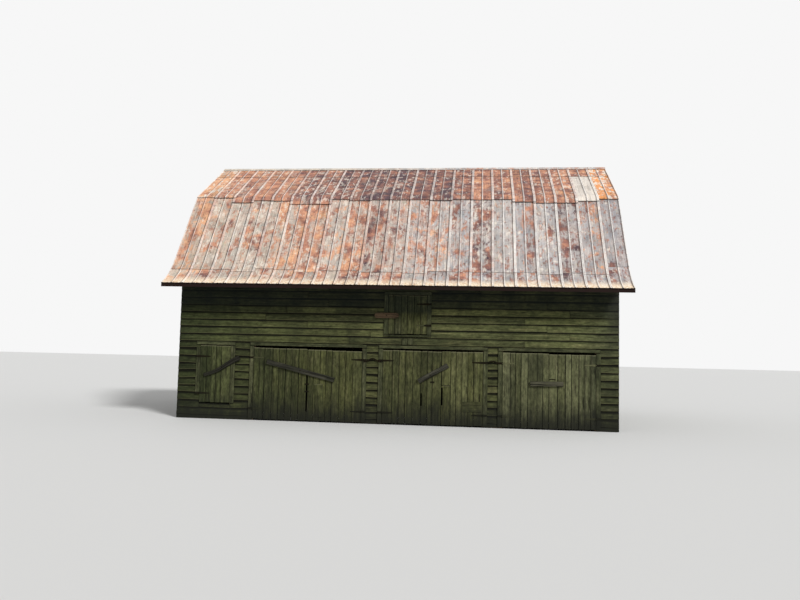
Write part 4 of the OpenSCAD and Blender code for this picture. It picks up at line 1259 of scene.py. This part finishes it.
def sheetBlank(name, steps, openLeft, openRight):
    # A pressed sheet of unit length. openLeft and openRight say on which sides another sheet laps it
    reach = sheet["pair"] / 2 + sheet["crimpWidth"] / 2 + sheet["flange"]
    start, end = (-reach if openLeft else 0.0), (sheetWidth + (reach if openRight else 0.0))
    pair = (-sheet["pair"] / 2, sheet["pair"] / 2)
    stations = [(start, 0.0, 0.0 if openLeft else 0.7, 1.0 if openLeft else 0.0)]
    for around, centres in ((0.0, pair), (sheetWidth / 2, (0.0,)), (sheetWidth, pair)):
        stations += [(around + d, *more) for d, *more in pressedStations(centres)
                     if start + 0.002 < around + d < end - 0.002]
    stations.append((end, 0.0, 0.1 if openRight else 0.7, 0.3 if openRight else 0.1))
    verts = []
    for layer in (0, 1):
        for step in steps:
            verts += [(x, step, h + sheet["thick"] * (1.5 * x / sheetWidth + layer) + 0.0003)
                      for x, h, _, _ in stations]
    mesh = bpy.data.meshes.new(name)
    mesh.from_pydata(verts, [], shellFaces(len(stations), len(steps) - 1))
    addAttributes(mesh, [{"crestWearAndHighlight": float(crestWearAndHighlight), "seam": seam} for _, _, crestWearAndHighlight, seam in stations] * len(steps) * 2)
    return bpy.data.objects.new(name, mesh)


def nailBlank(name):
    form = bmesh.new()
    bmesh.ops.create_uvsphere(form, u_segments=6, v_segments=4, radius=sheet["nail"] / 2)
    for v in form.verts:
        v.co.z = max(v.co.z, 0.0) * 0.7
    bmesh.ops.remove_doubles(form, verts=form.verts, dist=0.0001)
    mesh = bpy.data.meshes.new(name)
    form.to_mesh(mesh)
    form.free()
    addAttributes(mesh, [{"crestWearAndHighlight": 0.0, "seam": 0.0}] * len(mesh.vertices))
    return bpy.data.objects.new(name, mesh)


def blankCollection(name, objects):
    collection = bpy.data.collections.new(name)
    for obj in objects:
        collection.objects.link(obj)
    return collection


def makeSheetTree():
    tree, given = makeTree("sheets", {"Blanks": "Collection", "Profile": "Object", "Buckle": 0.004,
                                      "Seed": 0.0})
    blanks = nodeOut(tree, "GeometryNodeCollectionInfo",
                     {"Collection": given["Blanks"], "Separate Children": True, "Reset Children": True})
    length, tone = stored(tree, "length"), stored(tree, "tone")
    laid = onPoints(given, blanks, {"Pick Instance": True, "Instance Index": stored(tree, "variant"),
                                    "Scale": joinXYZ(1.0, length, 1.0)})
    x, s, h = splitXYZ(nodeOut(tree, "GeometryNodeInputPosition"))
    fromFoot = s - stored(tree, "start")
    laid = keep(laid, "fromFoot", fromFoot)
    laid = keep(laid, "sheetPlace", joinXYZ(x, s, tone * 41.0))
    buckle = noiseOf(joinXYZ(x * 3.1, s * 1.4, given["Seed"]), 1.0, 2.0) * given["Buckle"]
    nearFoot = calc("POWER", calc("SUBTRACT", 1.0, fromFoot / length, clamp=True), 9.0)
    level = h + (buckle + nearFoot * stored(tree, "lift"))
    ragged = noiseOf(joinXYZ(x * 9.0, tone), 1.0, 2.0) * 0.012 * nearFoot
    curve = nodeOut(tree, "GeometryNodeObjectInfo", {"Object": given["Profile"]}, output="Geometry")
    sample = addNode(tree, "GeometryNodeSampleCurve", {"Curves": curve, "Length": s + ragged}, mode="LENGTH")
    _, py, pz = splitXYZ(Wire(sample.outputs["Position"]))
    _, ty, tz = splitXYZ(Wire(sample.outputs["Tangent"]))
    place = joinXYZ(x, py - tz * level, pz + ty * level)
    return endTree(given, nodeOut(tree, "GeometryNodeSetPosition", {"Geometry": laid, "Position": place}))


sheetTree = makeSheetTree()
rowSteps = {"even": [i / 12 for i in range(13)], "short": [i / 4 for i in range(5)],
            "turned": [i * 0.017 for i in range(10)] + [0.2 + i * 0.1 for i in range(9)]}
blanks = {kind: blankCollection(kind, [sheetBlank("a_middle_" + kind, steps, True, True),
                                       sheetBlank("b_first_" + kind, steps, False, True),
                                       sheetBlank("c_last_" + kind, steps, True, False)])
          for kind, steps in rowSteps.items()}
nailBlanks = blankCollection("nailBlanks", [nailBlank("nailHead")])
profiles = {"lower": lowerProfile(), "upper": upperProfile()}

# Share of rust and its shade along the roof, as (place from the left end, value). The shade runs the rust's
# hue from peach to purple-brown, and its purple-brown over the middle is partly painted shadow of trees
rustAlong = {
    "lower": {"rust": [(0, 0.42), (0.25, 0.46), (0.45, 0.52), (0.6, 0.4), (0.75, 0.33), (1, 0.38)],
              "shade": [(0, 0.25), (0.3, 0.36), (0.5, 0.52), (0.7, 0.6), (1, 0.6)]},
    "upper": {"rust": [(0, 0.7), (0.2, 0.7), (0.45, 0.66), (0.6, 0.74), (0.75, 0.86), (1, 0.9)],
              "shade": [(0, 0.2), (0.2, 0.45), (0.4, 0.74), (0.58, 0.7), (0.72, 0.5), (1, 0.3)]},
}
upperEnd = turnedOver["length"] + upperLength - 0.03

# Rows of sheets from the eave up. start and end are distances along the profile, starts and ends the sheets
# that differ, nails the first and the last row of nails, new and orange the sheets that look it. Each row also
# gives the length and the strength of the painted shade along its sheets' lower ends
roofRows = {
    "flare_roof": {
        "zone": "lower", "start": 0.0, "end": 0.95, "stagger": 0.0, "level": 0.0, "lift": 0.0, "blank": "even",
        "material": "footSheets", "shadedEnd": 0.014, "endShade": 0.3, "ends": {20: 1.16},
        "nails": (0.06, 0.62)},
    "lower_roof": {
        "zone": "lower", "start": 0.72, "end": arcLength + lowerLength - 0.02, "stagger": 0.05,
        "level": 0.0046, "lift": 0.008, "blank": "even", "material": "footSheets", "shadedEnd": 0.02,
        "endShade": 0.6,
        "starts": {3: 0.66, 4: 0.8, 20: 1.02}, "nails": (1.05, arcLength + lowerLength - 0.22)},
    "upper_roof": {
        "zone": "upper", "start": 0.24, "end": upperEnd - 0.7, "stagger": 0.03, "level": 0.0046, "lift": 0.02,
        "blank": "turned", "material": "roofSheets", "shadedEnd": 0.034, "endShade": 1.0, "new": (19,),
        "orange": (0, 20), "nails": (0.5, upperEnd - 0.8),
        "starts": {0: 0.36, 1: 0.33, 2: 0.12, 3: 0.22, 4: 0.2, 5: 0.06, 6: 0.06, 16: 0.16, 17: 0.12, 18: 0.12,
                   19: 0.2, 20: 0.28}},
    "top_roof": {
        "zone": "upper", "start": upperEnd - 0.8, "end": upperEnd, "stagger": 0.012, "level": 0.0092,
        "lift": 0.006, "blank": "short", "material": "roofSheets", "shadedEnd": 0.02, "endShade": 0.7,
        "orange": (0, 20), "nails": (upperEnd - 0.74, upperEnd - 0.2)},
}


def alongRoof(stops, share):
    for (a, va), (b, vb) in zip(stops, stops[1:]):
        if share <= b:
            return va + (vb - va) * (share - a) / (b - a)
    return stops[-1][1]


def layRow(row, rng, mirrored):
    points = []
    zone, last = rustAlong[row["zone"]], sheet["count"] - 1
    for i in range(sheet["count"]):
        share = (i + 0.5) / sheet["count"]
        if mirrored:
            share = 1 - share
        start = row["start"] + rng.uniform(-row["stagger"], row["stagger"])
        start = row.get("starts", {}).get(i, start)
        rust = alongRoof(zone["rust"], share) + rng.uniform(-0.07, 0.07)
        shade = alongRoof(zone["shade"], share) + rng.uniform(-0.12, 0.12)
        tone = rng.random()
        if i in row.get("new", ()):
            rust, shade, tone = 0.05, 0.3, 1.6
        if i in row.get("orange", ()):
            rust, shade, tone = 0.78, 0.06, 1.18
        points.append({"at": (i * sheetWidth - roof["length"] / 2, start, row["level"]), "start": start,
                       "length": row.get("ends", {}).get(i, row["end"]) - start, "tone": tone, "rust": rust,
                       "shade": shade, "lift": row["lift"] * rng.uniform(0.3, 1.0),
                       "shadedEnd": row["shadedEnd"] * rng.uniform(0.6, 1.2),
                       "endShade": row["endShade"] * rng.uniform(0.55, 1.0),
                       "variant": 1 if i == 0 else 2 if i == last else 0})
    return points


def nailRow(row, rng):
    # Nail heads on the crests, in rows over the purlins
    low, high = row["nails"]
    gaps = max(1, round((high - low) / sheet["nailGap"]))
    crests = (sheet["pair"] / 2, sheetWidth / 2, sheetWidth - sheet["pair"] / 2)
    onCrest = row["level"] + sheet["crimpHeight"] + 0.0001
    points = []
    for i in range(sheet["count"]):
        left = i * sheetWidth - roof["length"] / 2
        for x in crests:
            for k in range(gaps + 1):
                up = low + (high - low) * k / gaps + rng.uniform(-0.02, 0.02)
                level = onCrest + sheet["thick"] * (1 + 1.5 * x / sheetWidth)
                points.append({"at": (left + x + rng.uniform(-0.002, 0.002), up, level), "length": 1.0,
                               "start": up, "tone": rng.random(), "rust": 0.0, "shade": 0.0, "lift": 0.0,
                               "shadedEnd": 0.01, "endShade": 0.0, "variant": 0})
    return points


def makeRoofSide(side, seed):
    rng = random.Random(seed)
    turn = unturned if side == "front" else halfTurn
    meshes = {name: [] for name in roofRows}
    for nailed in (False, True):
        for name, row in roofRows.items():
            points = nailRow(row, rng) if nailed else layRow(row, rng, side == "back")
            inputs = {"Blanks": nailBlanks if nailed else blanks[row["blank"]],
                      "Material": materials["nails" if nailed else row["material"]],
                      "Profile": profiles[row["zone"]], "Buckle": 0.003, "Seed": float(seed)}
            meshes[name].append(runTree(sheetTree, points, inputs, turn))
    upper = [mesh for pair in zip(meshes["upper_roof"], meshes["top_roof"]) for mesh in pair]
    for part, made, slot in (("_flare_roof", meshes["flare_roof"], "lower_sheets"),
                             ("_lower_roof", meshes["lower_roof"], "lower_sheets"),
                             ("_upper_roof", upper, "upper_sheets")):
        piece(side + part + "_sheets", made, "barn", [side + part])


makeRoofSide("front", 51)
makeRoofSide("back", 52)
for group in [*blanks.values(), nailBlanks]:
    for blank in list(group.objects):
        bpy.data.objects.remove(blank)
    bpy.data.collections.remove(group)
for profile in profiles.values():
    bpy.data.objects.remove(profile)
print("roof covered")

# The cap's tones are the paleness and the rust of its lengths, from the left end. The paleness, greatest at
# the left end, is partly a painted highlight
cap = {"lengths": 5, "wing": 0.14, "roll": 0.018, "thick": 0.0012, "lap": 0.12, "step": 0.16, "seat": 0.0295,
       "hem": 0.004, "over": 0.0016,
       "tones": [(0.4, 0.06), (0.34, 0.1), (0.2, 0.22), (0.12, 0.3), (0.1, 0.36)]}


def capSection():
    # (y, z) from one hem over the roll to the other, with the pitch of the upper slopes
    base = ridgeHeight + cap["seat"] / math.cos(upperAngle)
    side = [(d * math.cos(upperAngle), base - d * math.sin(upperAngle) + lift) for d, lift in
            ((cap["wing"], 0.0), (cap["wing"] - 0.012, cap["hem"]), (cap["wing"] * 0.5, 0.001), (0.03, 0.0))]
    turns = [math.radians(150 * (i / 6) - 75) for i in range(7)]
    roll = [(-cap["roll"] * math.sin(t), base + cap["roll"] * math.cos(t)) for t in turns]
    return side + roll + [(-y, z) for y, z in reversed(side)]


def makeRidgeCap():
    rng = random.Random(71)
    section = capSection()
    span = roof["length"] / cap["lengths"]
    verts, faces, values = [], [], []
    for k, (pale, rust) in enumerate(cap["tones"]):
        x0 = k * span - roof["length"] / 2
        x1 = min(x0 + span + cap["lap"], roof["length"] / 2)
        steps = round((x1 - x0) / cap["step"])
        faces += shellFaces(len(section), steps, len(verts), flip=True)
        dents = [rng.uniform(-0.003, 0.002) for _ in range(steps + 1)]
        for layer in (0, 1):
            out = layer * cap["thick"] + cap["over"] * (k % 2)
            for i in range(steps + 1):
                x = x0 + (x1 - x0) * i / steps
                for j, (y, z) in enumerate(section):
                    dent = dents[i] * (1 if 4 <= j <= 10 else 0.4)
                    verts.append((x, y * (1 + out / 0.2), z + out + dent))
                    values.append({"rust": rust, "tone": 0.9, "crestWearAndHighlight": pale * (1.0 if 3 <= j <= 11 else 0.75),
                                   "shade": 0.5, "seam": 0.0, "fromFoot": 1.0, "shadedEnd": 0.01,
                                   "endShade": 0.0, "sheetPlace": (x, y * (1 + out / 0.2) + 40, k * 7.0)})
    mesh = closedMesh("cap", verts, faces, "roofSheets")
    addAttributes(mesh, values)
    piece("ridge_cap_lengths", [mesh], "barn", ["ridge_cap"])


makeRidgeCap()

# Bent irons nailed across two piers between the upper hinges: their ends along the front, the height of the
# ends and the rise of the bend between them. The pull is a thin bent handle beside the meeting line of door 3
pierIrons = [{"from": -0.79, "to": -0.275, "feet": (1.712, 1.722), "rise": 0.088},
             {"from": 2.56, "to": 3.02, "feet": (1.768, 1.752), "rise": 0.05}]
flatIron = {"wide": 0.036, "thick": 0.006, "pullWide": 0.022, "nailStand": 0.0075}
pull = {"from": 4.31, "length": 0.16, "height": 1.352, "rise": 0.012, "nailIn": 0.01}


def ribbon(points, wide):
    # A flat iron along points (x, z) in front of the trims, wide in the wall's plane
    verts, faces = [], []
    face = trimY - flatIron["thick"]
    for i, (x, z) in enumerate(points):
        before, after = Vector(points[max(0, i - 1)]), Vector(points[min(len(points) - 1, i + 1)])
        across = (after - before).orthogonal().normalized() * wide / 2
        if across.y < 0:
            across = -across
        for side, y in ((1, face), (-1, face), (-1, trimY), (1, trimY)):
            verts.append((x + side * across.x, y, z + side * across.y))
    last = (len(points) - 1) * 4
    for a in range(0, last, 4):
        faces += [(a + k, a + (k + 1) % 4, a + (k + 1) % 4 + 4, a + k + 4) for k in range(4)]
    faces += [(3, 2, 1, 0), (last, last + 1, last + 2, last + 3)]
    return closedMesh("ribbon", verts, faces, "iron")


def makePierIrons():
    meshes, ends = [], []
    for iron in pierIrons:
        (a, b), (low, high) = (iron["from"], iron["to"]), iron["feet"]
        shares = [i / 32 for i in range(33)]
        points = [(a + (b - a) * share, low + (high - low) * share
                   + iron["rise"] * (0.5 - 0.5 * math.cos(math.pi * 2 * share)) ** 1.4) for share in shares]
        meshes.append(ribbon(points, flatIron["wide"]))
        ends += [(points[i][0], trimY - flatIron["nailStand"], points[i][1]) for i in (1, 5, -6, -2)]
    piece("pier_irons", meshes + [heads(ends, radius=0.011, height=0.007, sides=9)], "barn")


def makePull():
    points = [(pull["from"] + pull["length"] * i / 12,
               pull["height"] + pull["rise"] * math.sin(math.pi * i / 12)) for i in range(13)]
    ends = [(x + inwards, trimY - flatIron["nailStand"], z)
            for (x, z), inwards in ((points[0], pull["nailIn"]), (points[-1], -pull["nailIn"]))]
    meshes = [ribbon(points, flatIron["pullWide"]), heads(ends, radius=0.009, height=0.006, sides=9)]
    piece("door_3_pull", meshes, "door_3_right_leaf")


makePierIrons()
makePull()

# Materials of the CAD nodes that stay as they are. Their ironwork has the plain iron unless it is named here
nodeLooks = {"posts_and_studs": "timberZ", "sills": "timberX", "plates_and_girts": "timberX",
             "middle_beam": "timberX", "loft_joists": "timberY", "lower_rafters": "timberY",
             "upper_rafters": "timberY", "purlins_and_ridge_board": "timberX", "eave_boards": "eave",
             "fixed_ironwork": "fixedIron", "door_1_left_iron": "halfPaleIron", "door_3_left_iron": "paleIron",
             "door_3_right_iron": "paleIron"}
for name, node in frame["nodes"].items():
    if name in nodeLooks or name.endswith("iron"):
        for holder in node.material_slots:
            holder.material = materials[nodeLooks.get(name, "iron")]

# Floor, sky and lamps
light = {"world": 0.42, "sun": 2.6, "from": (0.55, -0.62, 0.62), "softness": 12, "backdrop": 0.93}
floorLook = {"reach": 120, "colour": (0.74, 0.74, 0.73, 1)}


def makeStage():
    mesh = bpy.data.meshes.new("floor")
    mesh.from_pydata([(x * floorLook["reach"], y * floorLook["reach"], 0)
                      for x, y in ((-1, -1), (1, -1), (1, 1), (-1, 1))], [], [(0, 1, 2, 3)])
    floor = newObject("floor", mesh)
    material, tree = newMaterial("floor")
    setInputs(tree.nodes["Principled BSDF"], {"Base Color": floorLook["colour"], "Roughness": 1.0})
    mesh.materials.append(material)
    lamp = bpy.data.lights.new("sun", "SUN")
    lamp.energy = light["sun"]
    lamp.angle = math.radians(light["softness"])
    newObject("sun", lamp).rotation_euler = Vector(light["from"]).to_track_quat("Z", "Y").to_euler()
    world = bpy.data.worlds.new("world")
    world.use_nodes = True
    bpy.context.scene.world = world
    tree = world.node_tree
    tree.nodes.clear()
    path = addNode(tree, "ShaderNodeLightPath").outputs
    camera, glossy, through = (Wire(path["Is " + ray + " Ray"])
                               for ray in ("Camera", "Glossy", "Transmission"))
    seen = calc("MAXIMUM", camera, calc("MAXIMUM", glossy, through))
    lit = nodeOut(tree, "ShaderNodeBackground", {"Color": (1, 1, 1, 1), "Strength": light["world"]})
    shown = nodeOut(tree, "ShaderNodeBackground", {"Color": (light["backdrop"],) * 3 + (1,), "Strength": 1.0})
    mixed = nodeOut(tree, "ShaderNodeMixShader", {0: seen, 1: lit, 2: shown})
    addNode(tree, "ShaderNodeOutputWorld", {"Surface": mixed})
    bpy.context.scene.view_settings.view_transform = "Standard"


makeStage()
print("stage set")
